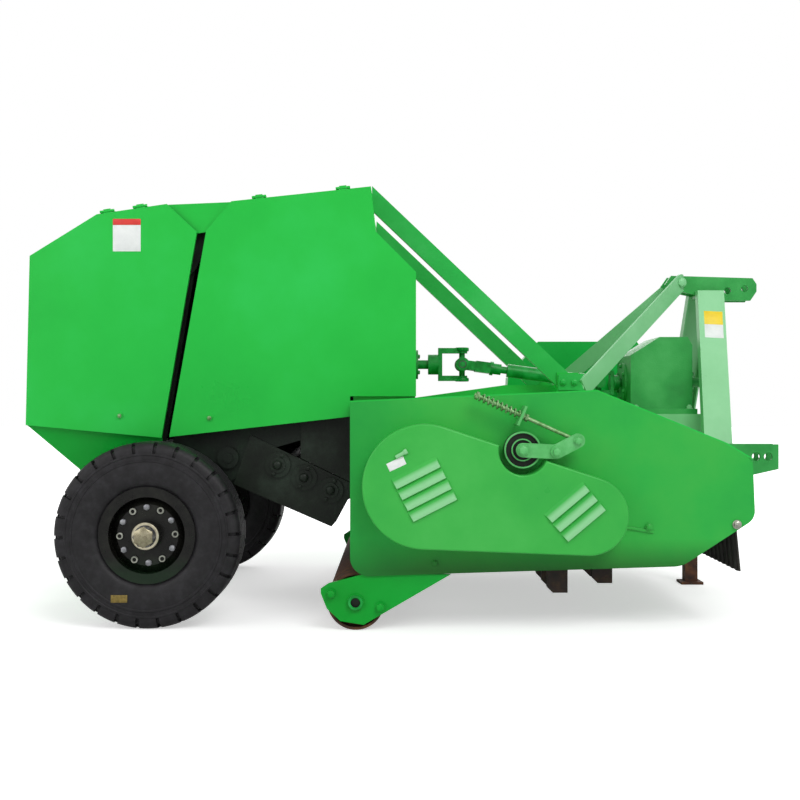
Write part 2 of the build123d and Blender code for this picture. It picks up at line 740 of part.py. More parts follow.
with BuildPart() as flail_rotor:
    add(disc(ROTOR, TUBE_R, -tube_half, tube_half))
    add(disc(ROTOR, ROTOR_SHAFT_R, -(SIDE_OUT + HOUSING_T + 4), SIDE_OUT + HOUSING_T + 4))
    for angle, stagger, lean in HAMMER_ROWS:
        pin = (
            ROTOR[0] + HAMMER_PIN_R * cos(radians(angle)),
            ROTOR[1] + HAMMER_PIN_R * sin(radians(angle)),
        )
        swing_dir = (cos(radians(lean)), 0, sin(radians(lean)))
        first = REEL_END - tube_half + hammer_pitch * (0.25 + stagger)
        for i in range(HAMMERS):
            y = first + hammer_pitch * i
            with BuildSketch(Plane.XZ.offset(-y - HAMMER_T / 2)):
                with Locations(ROTOR, pin):
                    Circle(HAMMER_EYE_R)
                make_hull()
            extrude(amount=HAMMER_T)
            hang = Plane(origin=(pin[0], y + HAMMER_T / 2, pin[1]), x_dir=swing_dir, z_dir=(0, -1, 0))
            with BuildSketch(hang):
                with BuildLine():
                    Polyline(*hammer_outline, close=True)
                make_face()
            extrude(amount=HAMMER_T)
save(flail_rotor, "flail_rotor")

# Feed auger: two opposite screws bring the straw in to paddles at the middle.
AUGER_TUBE_R = 55
PADDLE_T = 8
PADDLE_HALF = WALL_IN - 40
FLIGHT_PITCH = 220
FLIGHT_T = 6
FLIGHT_ROOT = 6      # depth to which a flight is let into the tube
FLIGHT_END = 12      # from the end of the tube to the end of its flight
flight_mid_r = (AUGER_R + AUGER_TUBE_R - FLIGHT_ROOT) / 2
flight_centre = Vector(AUGER[0], FLIGHT_END - tube_half, AUGER[1])
with BuildPart() as flight:
    with BuildLine() as screw_line:
        Helix(
            pitch=FLIGHT_PITCH,
            height=tube_half - FLIGHT_END - PADDLE_HALF,
            radius=flight_mid_r,
            center=flight_centre,
            direction=(0, 1, 0),
        )
    root = screw_line.line @ 0
    with BuildSketch(Plane(origin=root, x_dir=root - flight_centre, z_dir=screw_line.line % 0)):
        Rectangle(AUGER_R - AUGER_TUBE_R + FLIGHT_ROOT, FLIGHT_T)
    sweep(path=screw_line.line, is_frenet=True)
with BuildPart() as feed_auger:
    add(disc(AUGER, AUGER_TUBE_R, -tube_half, tube_half))
    add(disc(AUGER, AUGER_SHAFT_R, -(SIDE_OUT + HOUSING_T + 4), SIDE_OUT + HOUSING_T + 4))
    for turn in range(4):
        angle = radians(90 * turn + 20)
        flat = Plane(origin=(AUGER[0], 0, AUGER[1]), x_dir=(cos(angle), 0, sin(angle)), z_dir=(0, 1, 0))
        with BuildSketch(flat.offset(-PADDLE_HALF)):
            Rectangle(AUGER_R, PADDLE_T, align=(Align.MIN, Align.CENTER))
        extrude(amount=2 * PADDLE_HALF)
    add(flight)
    mirror(flight.part, about=Plane.XZ)
save(feed_auger, "feed_auger")

# Press roller: open-ended tube with a recessed end wall, on a shaft between the two brackets.
BRACKET_T = 12
PRESS_SHAFT_R = 18
PRESS_BOSS_R = 26
PRESS_END = 6        # gap between tube end and bracket
PRESS_RECESS = 40
bracket_in = side_in - BRACKET_T
press_axis = (PRESS_AXIS_X, PRESS_R)
press_half = bracket_in - PRESS_END
with BuildPart() as press_roller:
    add(disc(press_axis, PRESS_R, -press_half, press_half))
    add(disc(press_axis, PRESS_R - PRESS_WALL, press_half - PRESS_RECESS, press_half), mode=Mode.SUBTRACT)
    add(disc(press_axis, PRESS_R - PRESS_WALL, -press_half, PRESS_RECESS - press_half), mode=Mode.SUBTRACT)
    add(disc(press_axis, PRESS_SHAFT_R, -(SIDE_OUT - 1), SIDE_OUT - 1))
save(press_roller, "press_roller")

bracket_outline = [
    (-297, 132), (-272, 149), (-165, 177), (110, 177), (-163, 19), (-236, 31), (-278, 70), (-297, 118),
]
with BuildPart() as roller_bracket:
    add(slab(bracket_outline, bracket_in, side_in))
    add(disc(press_axis, PRESS_BOSS_R, side_in, SIDE_OUT))
    add(disc(press_axis, PRESS_SHAFT_R + RUN, bracket_in, SIDE_OUT), mode=Mode.SUBTRACT)
    add(disc((-264, 118), 11, side_in, side_in + 9))
    add(disc((-110, 76), 11, side_in, side_in + 9))
save_pair(roller_bracket, "roller_bracket")

# ================================================================ front curtain
CURTAIN_FOOT = (1016, 186)
CURTAIN_T = 5
CURTAIN_RIB = 3
CURTAIN_RIBS = 30
curtain_half = side_in - MOVE_GAP
drop = Vector(CURTAIN_TOP[0] - CURTAIN_FOOT[0], 0, CURTAIN_TOP[1] - CURTAIN_FOOT[1])
rib_pitch = 2 * curtain_half / CURTAIN_RIBS
with BuildPart() as curtain:
    sheet = Plane(
        origin=(CURTAIN_FOOT[0], 0, CURTAIN_FOOT[1]),
        x_dir=(0, 1, 0),
        z_dir=Vector(0, 1, 0).cross(drop),
    )
    with BuildSketch(sheet):
        Rectangle(2 * curtain_half, drop.length, align=(Align.CENTER, Align.MIN))
    extrude(amount=CURTAIN_T / 2, both=True)
    with BuildSketch(sheet):
        for i in range(CURTAIN_RIBS):
            with Locations((-curtain_half + rib_pitch * (i + 0.5), 0)):
                Rectangle(rib_pitch / 2, drop.length, align=(Align.CENTER, Align.MIN))
    extrude(amount=CURTAIN_T / 2 + CURTAIN_RIB, both=True)
    add(disc(CURTAIN_TOP, ROD_R, -SIDE_OUT - 4, SIDE_OUT + 4))
save(curtain, "front_curtain")

# ================================================================ hitch
# The front beam joins the side plates; the mast posts straddle it.
beam_top = BEAM_Z + BEAM_SIDE / 2
beam_foot = BEAM_Z - BEAM_SIDE / 2
beam_front = BEAM_X + BEAM_SIDE / 2
with BuildPart() as front_beam:
    with Locations((BEAM_X, 0, BEAM_Z)):
        Box(BEAM_SIDE, 2 * side_in, BEAM_SIDE)
        Box(BEAM_SIDE - 2 * PLATE, 2 * side_in, BEAM_SIDE - 2 * PLATE, mode=Mode.SUBTRACT)
    arm_h = SLEEVE_Z[1] - beam_foot + 10
    with Locations((beam_front - SEAT, LEG_Y, SLEEVE_Z[1])):
        Box(LEG_X - beam_front, SLEEVE_SIDE, arm_h, align=(Align.MIN, Align.CENTER, Align.MAX))
    sleeve_h = SLEEVE_Z[1] - SLEEVE_Z[0]
    bore = LEG_SIDE + 1
    on_foot = (Align.CENTER, Align.CENTER, Align.MIN)
    with Locations((LEG_X, LEG_Y, SLEEVE_Z[0])):
        Box(SLEEVE_SIDE, SLEEVE_SIDE, sleeve_h, align=on_foot)
        Box(bore, bore, sleeve_h, align=on_foot, mode=Mode.SUBTRACT)
save(front_beam, "front_beam")

# Top link plates: two long ears either side of the middle.
top_pin = (TOP_PIN_X, LOWER_PIN[1] + MAST_HEIGHT)
top_rear_hole = (TOP_PIN_X - TOP_PIN_STEP, top_pin[1] - 8)
brace_bolt = (1001, 1163)
BRACE_BOLT_R = 12
top_outline = [
    (942, 1155),
    (965, 1189),
    (1270, 1180),
    (1285, 1158),
    (1285, 1130),
    (1262, 1096),
    (1150, 1096),
    (975, 1135),
]
ear_out = TOP_GAP / 2 + LUG
with BuildPart() as top_link_ears:
    ears = slab(top_outline, TOP_GAP / 2, ear_out, [(top_pin, TOP_PIN_R), (top_rear_hole, TOP_PIN_R)])
    add(ears)
    mirror(ears.part, about=Plane.XZ)
    with Locations((1090, 0, 1130)):
        Box(60, TOP_GAP, 50)
    with BuildSketch(Plane.XZ.offset(-TOP_GAP / 2)):
        with Locations(brace_bolt):
            Circle(BRACE_BOLT_R)
    extrude(amount=TOP_GAP)
save(top_link_ears, "top_link_ears")

# Mast posts: channels that lean in from the beam to the ears, open towards the middle.
post_foot = Vector(POST_FOOT_X, -POST_FOOT_Y, beam_foot)
post_head = Vector(POST_HEAD[0], POST_T / 2 - 4 - ear_out - POST_T, POST_HEAD[1])
post_run = post_head - post_foot
below_hood = list(hood_top) + [
    (SIDE_TOP_REAR[0], beam_foot),
    (beam_front, beam_foot),
    (beam_front, beam_top),
]
with BuildPart() as mast_post:
    post_plane = Plane(origin=post_foot - post_run * 0.05, x_dir=(1, 0, 0), z_dir=post_run)
    with BuildSketch(post_plane):
        Rectangle(POST_W, POST_T)
        with Locations((0, POST_WALL)):
            Rectangle(POST_W - 2 * POST_WALL, POST_T, mode=Mode.SUBTRACT)
    extrude(amount=post_run.length * 1.1)
    # Level ends, a saddle over the beam and the hood's nose, and a flat seat on the ear.
    with Locations((0, 0, post_head.Z)):
        Box(FAR, FAR, FAR, align=(Align.CENTER, Align.CENTER, Align.MIN), mode=Mode.SUBTRACT)
    with Locations((0, 0, beam_foot)):
        Box(FAR, FAR, FAR, align=(Align.CENTER, Align.CENTER, Align.MAX), mode=Mode.SUBTRACT)
    add(slab(below_hood, 0, SIDE_OUT), mode=Mode.SUBTRACT)
    with Locations((0, -ear_out, 0)):
        Box(FAR, FAR, FAR, align=(Align.CENTER, Align.MIN, Align.CENTER), mode=Mode.SUBTRACT)
save_pair(mast_post, "mast_post")

# Mast braces: flat bars from the ears down to the outside of the lugs, with a bent tab at the foot.
BRACE_W = 62
BRACE_T = 8
BRACE_DROP = 18      # the brace meets its lug this far below the lug's middle
tab_foot = lug_top - LUG_H + 6
tab_top = lug_top - 4
brace_foot = Vector(LUG_X + 8, -(lug_in + LUG_T + BRACE_T / 2), lug_top - LUG_H / 2 - BRACE_DROP)
brace_head = Vector(brace_bolt[0], -(ear_out + BRACE_T / 2), brace_bolt[1])
brace_run = brace_head - brace_foot
brace_level = Vector(0, 0, 1).cross(brace_run).normalized()
with BuildPart() as mast_brace:
    with BuildSketch(Plane(origin=brace_foot, x_dir=brace_level, z_dir=brace_run)):
        Rectangle(BRACE_T, BRACE_W)
    extrude(amount=brace_run.length)
    with BuildSketch(Plane(origin=brace_head - brace_level * (BRACE_T / 2), z_dir=brace_level)):
        Circle(BRACE_W / 2)
    extrude(amount=BRACE_T)
    tab_outline = [
        (lug_rear + 4, tab_foot), (brace_foot.X, tab_foot), (brace_foot.X, tab_top), (lug_rear + 4, tab_top),
    ]
    add(slab(tab_outline, lug_in + LUG_T, lug_in + LUG_T + BRACE_T))
    with Locations((0, -ear_out, 0)):
        Box(FAR, FAR, FAR, align=(Align.CENTER, Align.MIN, Align.CENTER), mode=Mode.SUBTRACT)
    add(slab(below_hood, 0, SIDE_OUT), mode=Mode.SUBTRACT)
save_pair(mast_brace, "mast_brace")

# Chamber struts: straight bars from the chamber's brow to the inside of the lugs.
strut_foot = Vector(STRUT_FOOT[0], -STRUT_Y, STRUT_FOOT[1])
strut_head = Vector(STRUT_HEAD[0], -STRUT_Y, STRUT_HEAD[1])
with BuildPart() as chamber_strut:
    add(bar(strut_foot, strut_head + (strut_head - strut_foot) * 0.1, STRUT_T, STRUT_DEPTH))
    with Locations((ROOF_FRONT[0], 0, ROOF_FRONT[1])):
        Box(FAR, FAR, FAR, align=(Align.MAX, Align.CENTER, Align.CENTER), mode=Mode.SUBTRACT)
save_pair(chamber_strut, "chamber_strut")

# Lower link brackets: two ears on the front of the beam.
lower_rear_hole = (LOWER_PIN[0] - LOWER_PIN_STEP, LOWER_PIN[1])
LOWER_FRONT = 1234
LOWER_TOP = 573
LOWER_FOOT = 489
LOWER_DROP = 40      # the ears' rear edges reach this far below their front ends
WEB_TOP = LOWER_TOP - 20
lower_outline = [
    (beam_front, LOWER_TOP),
    (LOWER_FRONT, LOWER_TOP),
    (LOWER_FRONT, LOWER_FOOT),
    (beam_front, LOWER_FOOT - LOWER_DROP),
]
web_outline = [
    (beam_front, WEB_TOP),
    (beam_front + LUG, WEB_TOP),
    (beam_front + LUG, LOWER_FOOT - LOWER_DROP),
    (beam_front, LOWER_FOOT - LOWER_DROP),
]
with BuildPart() as lower_link_ears:
    for inner in (LOWER_SPAN - LOWER_GAP / 2 - LUG, LOWER_SPAN + LOWER_GAP / 2):
        holes = [(LOWER_PIN, LOWER_PIN_R), (lower_rear_hole, LOWER_PIN_R)]
        add(slab(lower_outline, inner, inner + LUG, holes))
    add(slab(web_outline, LOWER_SPAN - LOWER_GAP / 2, LOWER_SPAN + LOWER_GAP / 2))
save_pair(lower_link_ears, "lower_link_ears")

# ================================================================ gearbox and drive shafts
stand_top = GEARBOX_Z[0] - BASE_T
stand_rear = GEARBOX_X[0] + 46
stand_outline = [
    (stand_rear, hood_z(stand_rear)),
    (stand_rear, stand_top),
    (beam_front, stand_top),
    (beam_front, hood_top[0][1]),
    hood_top[0],
    hood_top[1],
]
save(slab(stand_outline, -STAND_HALF, STAND_HALF), "gearbox_stand")

CAP_R = 75
CAP_T = 10
SIDE_TUBE_R = 38
INPUT_R = 17.5
INPUT_LEN = 78
FRONT_CAP = 16       # thickness of the front bearing cap and of the side tube's flange
SIDE_FLANGE_R = 62
GEARBOX_HIP = 106    # length of the sloping shoulder at the rear of the case
with BuildPart() as gearbox:
    with BuildSketch(Plane.XZ.offset(-GEARBOX_HALF)) as case:
        with BuildLine():
            Polyline(
                (GEARBOX_X[0], GEARBOX_Z[0]),
                (GEARBOX_X[0], GEARBOX_Z[1] - 67),
                (GEARBOX_X[0] + GEARBOX_HIP, GEARBOX_Z[1]),
                (GEARBOX_X[1] - 17, GEARBOX_Z[1]),
                (GEARBOX_X[1], GEARBOX_Z[1] - 30),
                (GEARBOX_X[1], GEARBOX_Z[0]),
                close=True,
            )
        make_face()
    extrude(amount=2 * GEARBOX_HALF)
    with Locations(((GEARBOX_X[0] + GEARBOX_X[1]) / 2, 0, stand_top)):
        Box(GEARBOX_X[1] - GEARBOX_X[0] + 20, 2 * STAND_HALF, BASE_T,
            align=(Align.CENTER, Align.CENTER, Align.MIN))
    for start, length, radius in (
        (GEARBOX_X[0] - CAP_T, CAP_T, CAP_R),
        (GEARBOX_X[1], FRONT_CAP, CAP_R),
        (GEARBOX_X[1], FRONT_CAP + INPUT_LEN, INPUT_R),
    ):
        with BuildSketch(Plane.YZ.offset(start)):
            with Locations((0, OUTPUT_Z)):
                Circle(radius)
        extrude(amount=length)
    add(disc(SIDE_SHAFT, SIDE_FLANGE_R, -GEARBOX_HALF - FRONT_CAP, -GEARBOX_HALF))
    add(disc(SIDE_SHAFT, SIDE_TUBE_R, -SIDE_OUT, -GEARBOX_HALF))
save(gearbox, "gearbox")

COVER_WALL = 3
guard_out = COVER_OUT + LOUVRE_H
left_guard_outline = [
    (429, 825),
    (563, 985),
    (1000, 985),
    (1062, 905),
    (1062, 800),
    (652, 340),
    (560, 250),
    (450, 262),
    (402, 340),
]
with BuildPart() as left_guard:
    with BuildSketch(Plane.XZ.offset(-guard_out)):
        with BuildLine():
            Polyline(*left_guard_outline, close=True)
        make_face()
    extrude(amount=guard_out - SIDE_OUT)
    with BuildSketch(Plane.XZ.offset(COVER_WALL - guard_out)):
        with BuildLine():
            Polyline(*left_guard_outline, close=True)
        make_face()
        offset(amount=-COVER_WALL, kind=Kind.INTERSECTION, mode=Mode.REPLACE)
    extrude(amount=guard_out - 2 * COVER_WALL - SIDE_OUT, mode=Mode.SUBTRACT)
    add(disc(ROTOR, HOUSING_R + MOVE_GAP, -SIDE_OUT - COVER_WALL, -SIDE_OUT), mode=Mode.SUBTRACT)
save(left_guard, "drive_guard")

# Belt cover on the right: round ends over the auger and reel pulleys, cut away at the idler.
NOTCH_R = 76
LOUVRE_L = 155
LOUVRE_W = 36
LOUVRE_END = 24      # slope of a louvre's ends, in degrees
COVER_EDGE_R = 6
LOUVRE_ROWS = (   # first louvre's centre, direction of a louvre, number, distance between them
    ((0, 500), 27, 4, 37),
    ((458, 411), 40, 3, 38),
)


def cover_block(shrink):
    """Block in the belt cover's outline, smaller by the sheet's thickness for its inside."""
    with BuildPart() as made:
        with BuildSketch(Plane.XZ.offset(SIDE_OUT)):
            with Locations(AUGER):
                Circle(COVER_BIG_R - shrink)
            with Locations(ROTOR):
                Circle(COVER_SMALL_R - shrink)
            make_hull()
            with Locations(IDLER):
                Circle(NOTCH_R + shrink, mode=Mode.SUBTRACT)
        extrude(amount=COVER_OUT - SIDE_OUT - shrink)
    return made


def louvre(middle, down, angle):
    """Pressed louvre: it swells from its upper edge to an open lip, and its ends slope."""
    with BuildPart() as made:
        with BuildSketch(Plane(origin=middle, x_dir=down, z_dir=down.cross(Vector(0, -1, 0)))):
            with BuildLine():
                crest = Line((LOUVRE_W / 2 - 2, LOUVRE_H), (LOUVRE_W / 2 - 8, LOUVRE_H))
                Line((LOUVRE_W / 2, 0), crest @ 0)
                TangentArc(crest @ 1, (-LOUVRE_W / 2, 0), tangent=(-1, 0))
                Line((-LOUVRE_W / 2, 0), (LOUVRE_W / 2, 0))
            make_face()
        extrude(amount=LOUVRE_L / 2, both=True)
        with BuildSketch(Plane.XZ.offset(COVER_OUT)):
            with Locations(Location((middle.X, middle.Z, 0), (0, 0, angle))):
                Rectangle(LOUVRE_L, 2 * LOUVRE_W)
        extrude(amount=LOUVRE_H, taper=LOUVRE_END, mode=Mode.INTERSECT)
    return made


with BuildPart() as belt_cover:
    add(cover_block(0))
    fillet(belt_cover.faces().sort_by(Axis.Y)[0].outer_wire().edges(), COVER_EDGE_R)
    add(cover_block(COVER_WALL), mode=Mode.SUBTRACT)
    for (x, z), angle, count, step in LOUVRE_ROWS:
        down = Vector(cos(radians(angle - 90)), 0, sin(radians(angle - 90)))
        for i in range(count):
            add(louvre(Vector(x, -COVER_OUT, z) + down * (step * i), down, angle))
save(belt_cover, "belt_cover")

# ================================================================ belt tensioner
ARM_T = 12
ARM_R = 22
idler_in = SIDE_OUT + 24
idler_out = idler_in + 44
arm_in = idler_out + 2
IDLER_SHAFT_R = 12
with BuildPart() as idler_pulley:
    add(disc(IDLER, IDLER_R, idler_in, idler_out))
    add(disc(IDLER, IDLER_R - 6, idler_in + 6, idler_out - 6), mode=Mode.SUBTRACT)
    add(disc(IDLER, IDLER_R - 12, idler_in, idler_out))
    add(disc(IDLER, IDLER_SHAFT_R + RUN, idler_in, idler_out), mode=Mode.SUBTRACT)
save(idler_pulley, "idler_pulley")

with BuildPart() as tensioner_arm:
    for a, b in ((IDLER, ARM_PIVOT), (ARM_PIVOT, ARM_END)):
        with BuildSketch(Plane.XZ.offset(arm_in)):
            with Locations(a, b):
                Circle(ARM_R)
            make_hull()
        extrude(amount=ARM_T)
    add(disc(IDLER, IDLER_SHAFT_R, idler_in - 4, arm_in + ARM_T + 8))
    add(disc(ARM_PIVOT, ARM_R - 4, SIDE_OUT, arm_in + ARM_T + 10))
    add(disc(ARM_END, 8, arm_in - 24, arm_in + ARM_T + 8))
save(tensioner_arm, "tensioner_arm")

# Eye rod from the arm through a bracket, with a spring between the bracket and the tail nut.
TENSION_ROD_R = 6
ROD_Y = arm_in - 12
BRACKET_SHARE = 0.54
BRACKET_PLATE = 8
SPRING_R = 14
rod_dir = Vector(ROD_TAIL[0] - ARM_END[0], 0, ROD_TAIL[1] - ARM_END[1])
rod_unit = rod_dir.normalized()
rod_up = Vector(-rod_unit.Z, 0, rod_unit.X) * -1
rod_start = Vector(ARM_END[0], -ROD_Y, ARM_END[1])
bracket_at = rod_start + rod_dir * BRACKET_SHARE
with BuildPart() as tensioner_rod:
    with BuildSketch(Plane(origin=rod_start + rod_unit * 14, z_dir=rod_unit)):
        Circle(TENSION_ROD_R)
    extrude(amount=rod_dir.length - 14)
    with BuildSketch(Plane.XZ.offset(ROD_Y - 8)):
        with Locations(ARM_END):
            Circle(17)
            Circle(8 + RUN, mode=Mode.SUBTRACT)
    extrude(amount=16)
    with BuildSketch(Plane(origin=rod_start + rod_dir * 0.96, z_dir=rod_unit)):
        RegularPolygon(13, 6)
    extrude(amount=10)
save(tensioner_rod, "tensioner_rod")

spring_from = bracket_at + rod_unit * (BRACKET_PLATE / 2)
spring_to = rod_start + rod_dir * 0.96
with BuildPart() as tensioner_spring:
    with BuildSketch(Plane(origin=spring_from, z_dir=rod_unit)):
        Circle(SPRING_R)
        Circle(TENSION_ROD_R + 2, mode=Mode.SUBTRACT)
    extrude(amount=(spring_to - spring_from).length)
save(tensioner_spring, "tensioner_spring")

with BuildPart() as tensioner_bracket:
    plate_at = bracket_at - rod_unit * (BRACKET_PLATE / 2)
    plate_plane = Plane(origin=plate_at, x_dir=(0, 1, 0), z_dir=rod_unit)
    with BuildSketch(plate_plane):
        with Locations((ROD_Y - SIDE_OUT, 0)):
            Rectangle(ROD_Y + 24 - SIDE_OUT, 64, align=(Align.MAX, Align.CENTER))
        Circle(TENSION_ROD_R + 1, mode=Mode.SUBTRACT)
    extrude(amount=BRACKET_PLATE)
save(tensioner_bracket, "tensioner_bracket")

# ================================================================ cardan shaft to the bale chamber
CHAMBER_BOX = (150, 150, 165)
box_front = ROOF_FRONT[0] + CHAMBER_BOX[0]
stub_z = REAR_JOINT[1]
STUB_R = 17
FLANGE_OUT = 14
CHAMBER_FLANGE_R = 55
with BuildPart() as chamber_gearbox:
    with Locations((ROOF_FRONT[0], 0, stub_z)):
        Box(*CHAMBER_BOX, align=(Align.MIN, Align.CENTER, Align.CENTER))
    with BuildSketch(Plane.YZ.offset(box_front)):
        with Locations((0, stub_z)):
            Circle(CHAMBER_FLANGE_R)
    extrude(amount=FLANGE_OUT)
save(chamber_gearbox, "chamber_gearbox")

CARDAN_R = 24.5      # outer tube, towards the tractor
CARDAN_SOCKET_R = 20.5
CARDAN_INNER_R = 13.5
CARDAN_OUTER_X = 355 # rear end of the outer tube
SPIDER_R = 11
EYE_R = 20
j_front = Vector(FRONT_JOINT[0], 0, FRONT_JOINT[1])
j_rear = Vector(REAR_JOINT[0], 0, REAR_JOINT[1])
shaft_dir = (j_rear - j_front).normalized()
BACKWARD = Vector(-1, 0, 0)
FORWARD = Vector(1, 0, 0)
SMALL_YOKE = (90, 16, 42, 14, 28, 20)    # span, arm thickness, reach, plate, hub radius, hub length
WIDE_YOKE = (124, 20, 75, 15, 38, 38)
DEEP_YOKE = (92, 16, 50, 56, 26, 12)


def yoke(joint, away, upright, size):
    """Fork of a universal joint: two arms across the joint, a plate and a hub behind them."""
    span, arm_t, reach, plate_t, hub_r, hub_len = size
    arm_dir = Vector(0, 1, 0).cross(away) if upright else Vector(0, 1, 0)
    with BuildPart() as made:
        for end in (arm_dir, -arm_dir):
            with BuildSketch(Plane(origin=joint + end * span / 2, x_dir=away, z_dir=-end)):
                Circle(EYE_R)
                Rectangle(reach, 2 * EYE_R - 6, align=(Align.MIN, Align.CENTER))
            extrude(amount=arm_t)
        with BuildSketch(Plane(origin=joint + away * reach, x_dir=arm_dir, z_dir=away)):
            Rectangle(span, 2 * EYE_R)
        extrude(amount=plate_t)
        with BuildSketch(Plane(origin=joint + away * (reach + plate_t), z_dir=away)):
            Circle(hub_r)
        extrude(amount=hub_len)
    return made


def back_of(size):
    """Distance from a joint to the end of its yoke's hub."""
    return sum(size[2:4]) + size[5]


def round_bar(start, end, radius):
    """Round bar between two points."""
    with BuildPart() as made:
        with BuildSketch(Plane(origin=start, z_dir=end - start)):
            Circle(radius)
        extrude(amount=(end - start).length)
    return made


outer_from = j_front + shaft_dir * back_of(SMALL_YOKE)
outer_to = j_front + shaft_dir * ((j_front.X - CARDAN_OUTER_X) / -shaft_dir.X)
inner_to = j_rear - shaft_dir * back_of(DEEP_YOKE)
with BuildPart() as cardan_shaft:
    add(yoke(j_front, FORWARD, True, SMALL_YOKE))
    add(yoke(j_front, shaft_dir, False, SMALL_YOKE))
    add(yoke(j_rear, BACKWARD, True, WIDE_YOKE))
    add(yoke(j_rear, -shaft_dir, False, DEEP_YOKE))
    for joint, tall in ((j_front, SMALL_YOKE[0]), (j_rear, WIDE_YOKE[0])):
        for arm, span in ((Vector(0, 1, 0), SMALL_YOKE[0]), (Vector(0, 0, 1), tall)):
            add(round_bar(joint - arm * (span / 2 - 1), joint + arm * (span / 2 - 1), SPIDER_R))
    add(round_bar(outer_from, outer_to, CARDAN_R))
    add(round_bar(outer_to, inner_to, CARDAN_INNER_R))
    add(round_bar(inner_to, inner_to + (outer_to - inner_to).normalized() * 30, CARDAN_SOCKET_R))
    for joint, away, size, x_to in (
        (j_front, FORWARD, SMALL_YOKE, GEARBOX_X[0] - CAP_T),
        (j_rear, BACKWARD, WIDE_YOKE, box_front + FLANGE_OUT),
    ):
        add(round_bar(joint + away * back_of(size), Vector(x_to, 0, joint.Z), STUB_R))
save(cardan_shaft, "cardan_shaft")

# ================================================================ parking leg
LEG_WALL = 5
FOOT_SIDE = 86
FOOT_T = 10
LEG_PIN_R = 8
leg_top = SLEEVE_Z[1] + 10
with BuildPart() as parking_leg:
    with Locations((LEG_X, LEG_Y, 0)):
        Box(FOOT_SIDE, FOOT_SIDE, FOOT_T, align=(Align.CENTER, Align.CENTER, Align.MIN))
        Box(LEG_SIDE, LEG_SIDE, leg_top, align=(Align.CENTER, Align.CENTER, Align.MIN))
        Box(LEG_SIDE - 2 * LEG_WALL, LEG_SIDE - 2 * LEG_WALL, leg_top,
            align=(Align.CENTER, Align.CENTER, Align.MIN), mode=Mode.SUBTRACT)
save(parking_leg, "parking_leg")
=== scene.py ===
"""Looks for the straw-crushing round baler: finishes, tyres, fasteners, labels and trim on its solids."""

import math

import bmesh
import bpy
from mathutils import Matrix, Vector


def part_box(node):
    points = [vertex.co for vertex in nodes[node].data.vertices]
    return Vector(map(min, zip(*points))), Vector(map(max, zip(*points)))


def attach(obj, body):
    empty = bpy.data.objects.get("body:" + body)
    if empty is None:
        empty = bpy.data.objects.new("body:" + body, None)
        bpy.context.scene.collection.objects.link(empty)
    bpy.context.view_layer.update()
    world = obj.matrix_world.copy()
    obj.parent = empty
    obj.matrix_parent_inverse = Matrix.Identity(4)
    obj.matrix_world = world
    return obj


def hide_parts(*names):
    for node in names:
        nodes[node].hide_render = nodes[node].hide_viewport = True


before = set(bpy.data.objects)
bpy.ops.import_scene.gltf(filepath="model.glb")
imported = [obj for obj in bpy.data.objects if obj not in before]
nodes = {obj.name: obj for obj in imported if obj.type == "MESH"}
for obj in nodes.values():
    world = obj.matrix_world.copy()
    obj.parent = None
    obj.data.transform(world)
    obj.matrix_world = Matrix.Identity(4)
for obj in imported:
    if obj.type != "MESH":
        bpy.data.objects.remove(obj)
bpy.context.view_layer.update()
scene = bpy.context.scene


# ---------------------------------------------------------------- colours and material nodes
def linear(hex_colour):
    """sRGB hex to a linear colour."""
    channels = [int(hex_colour[i:i + 2], 16) / 255 for i in (1, 3, 5)]
    return tuple(c / 12.92 if c <= 0.04045 else ((c + 0.055) / 1.055) ** 2.4 for c in channels) + (1.0,)


def add_node(tree, kind, settings=None, links=None):
    """Adds one node: settings are inputs or properties by name, links are inputs by name."""
    made = tree.nodes.new(kind)
    for key, value in (settings or {}).items():
        if hasattr(made, key):
            setattr(made, key, value)
        else:
            made.inputs[key].default_value = value
    for key, socket in (links or {}).items():
        tree.links.new(socket, made.inputs[key])
    return made


def new_material(name):
    """An empty material with its Principled shader and object coordinates."""
    made = bpy.data.materials.new(name)
    made.use_nodes = True
    tree = made.node_tree
    shader = tree.nodes["Principled BSDF"]
    coords = add_node(tree, "ShaderNodeTexCoord")
    return made, tree, shader, coords.outputs["Object"]


def mix_colours(tree, share, first, second):
    """Colour output that goes from first to second; either is a hex colour or a socket."""
    mixed = add_node(tree, "ShaderNodeMix", {"data_type": "RGBA"})
    tree.links.new(share, mixed.inputs["Factor"])
    for socket, colour in zip((mixed.inputs[6], mixed.inputs[7]), (first, second)):
        if isinstance(colour, str):
            socket.default_value = linear(colour)
        else:
            tree.links.new(colour, socket)
    return mixed.outputs[2]


def fade(tree, place, axis, start, end):
    """Share from 0 to 1 along one axis of the machine, in metres."""
    split = add_node(tree, "ShaderNodeSeparateXYZ", links={"Vector": place})
    span = add_node(
        tree, "ShaderNodeMapRange", {"From Min": start, "From Max": end}, {"Value": split.outputs[axis]}
    )
    return span.outputs["Result"]


FINISH = {}                   # every finish by its name
DARK_END = 0.30               # where the drift's noise is fully dark and fully light
LIGHT_END = 0.72
LEAST_ROUGH = 0.02


